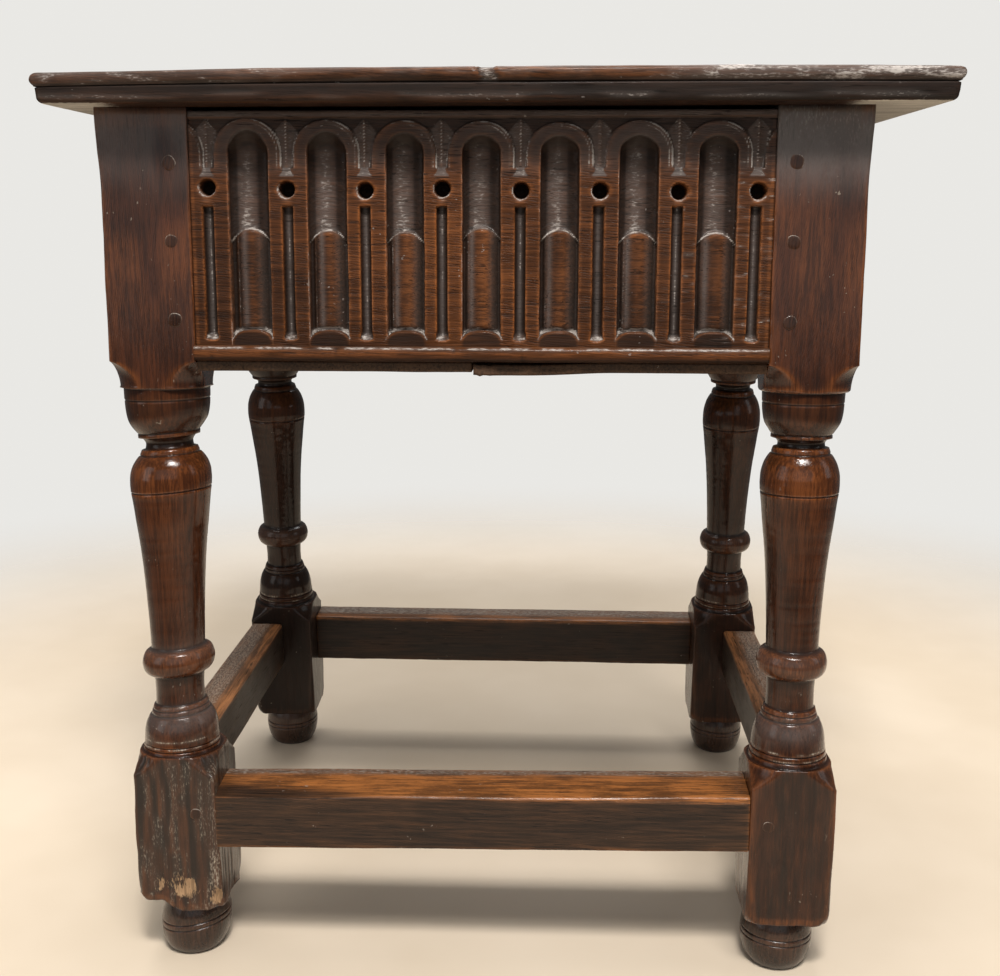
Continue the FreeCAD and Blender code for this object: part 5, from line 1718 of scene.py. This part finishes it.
def make_light():
    """Pale surroundings, lights above and before the stool, and weaker ones at its sides and behind it."""
    world = bpy.data.worlds.new("pale_room")
    bpy.context.scene.world = world
    world.use_nodes = True
    n = Nodes(world.node_tree)
    room = world.node_tree.nodes["Background"]
    room.inputs["Color"].default_value = (0.86, 0.85, 0.82, 1)
    seen = n.add("ShaderNodeLightPath").outputs["Is Camera Ray"]
    n.link(n.spread(seen, 0, 1, 0.13, 0.95), room.inputs["Strength"])
    middle = (0, 0, 0.3)
    softbox("front_light", (0.3, -1.35, 2.2), middle, 1.0, 0.5, 34, (1, 0.97, 0.93))
    softbox("small_light", (0.1, -1.1, 1.9), middle, 0.24, 0.24, 22, (1, 0.97, 0.93))
    softbox("room_light", (0.0, -3.2, 1.3), (0, 0, 0.5), 3.6, 1.8, 13, (0.95, 0.98, 1))
    softbox("overhead_light", (-0.2, 0.4, 2.5), (0, 0, 0), 1.6, 1.2, 40, (1, 0.98, 0.95))
    softbox("left_light", (-1.7, -1.1, 0.9), middle, 0.8, 1.3, 5)
    softbox("right_light", (1.9, -0.4, 1.0), middle, 0.5, 1.2, 2.5)
    softbox("back_light", (0.2, 1.6, 2.1), middle, 1.0, 0.5, 9)


def make_camera():
    """Camera at the height of the rail, tilted down a little, as the photograph was taken."""
    camera = bpy.data.cameras.new("camera")
    camera.lens = 43.17
    camera.sensor_width = 36
    eye = bpy.data.objects.new("camera", camera)
    eye.location = (0.03735, -0.879, 0.4774)
    eye.rotation_euler = (math.radians(90 - 12.71), math.radians(-0.04), math.radians(2.59))
    bpy.context.scene.collection.objects.link(eye)
    bpy.context.scene.camera = eye


# The stool

straight = dict(skew=0.0, shift=0.0, flare=0.0, spread=0.0)
leg_makes = {
    "front_left_leg": dict(
        side=-1, back=False, seed=11, lift=(6.0, 1.4), furrow=1.0, shade=0.0, low_shade=0.3, haze=0.5,
        shape=dict(
            fullness=1.04, cup=1.02, sag=(1.2, 4.0, 2.0, 5.2, 6.5), skew=0.075, shift=1.2, flare=2.2,
            spread=1.8,
        ),
    ),
    "front_right_leg": dict(
        side=1, back=False, seed=22, lift=(0.0, 0.8), furrow=0.25, shade=0.0, low_shade=0.1, haze=1.0,
        shape=dict(straight, fullness=1.0, cup=0.965, sag=(0.0, 0.0, 0.0, 0.0, 3.0), spread=2.0),
    ),
    "back_left_leg": dict(
        side=1, back=True, seed=33, lift=(0.0, 0.8), furrow=0.15, shade=0.75, low_shade=0.1, haze=0.2,
        shape=dict(straight, fullness=1.0, cup=1.0, sag=(3.1, 3.5, 4.5, 2.0, 2.5)),
    ),
    "back_right_leg": dict(
        side=-1, back=True, seed=44, lift=(0.0, 0.8), furrow=0.15, shade=0.45, low_shade=0.1, haze=0.2,
        shape=dict(straight, fullness=1.0, cup=1.0, sag=(4.5, 5.0, 9.0, 3.5, 3.0)),
    ),
}
foot_makes = {
    "front_left_foot": dict(inset=5.0, skew=0.13),
    "front_right_foot": dict(inset=2.5, skew=-0.02),
    "back_left_foot": dict(inset=0.0, skew=-0.04),
    "back_right_foot": dict(inset=0.0, skew=0.03),
}
for leg_name, make in leg_makes.items():
    make_leg(leg_name, **make)
    foot_name = leg_name.replace("_leg", "_foot")
    make_foot(foot_name, make["side"], make["back"], make["seed"] + 5, **foot_makes[foot_name])
make_front_rail()
make_plain_rails()
make_beads()
make_stretchers()
make_bottom_boards()
make_lid()
make_pegs()
make_hinges()
for slot in frame["nodes"]["bottom_nails"].material_slots:
    slot.material = iron
make_floor()
make_light()
make_camera()
bpy.context.scene.view_settings.view_transform = "Standard"
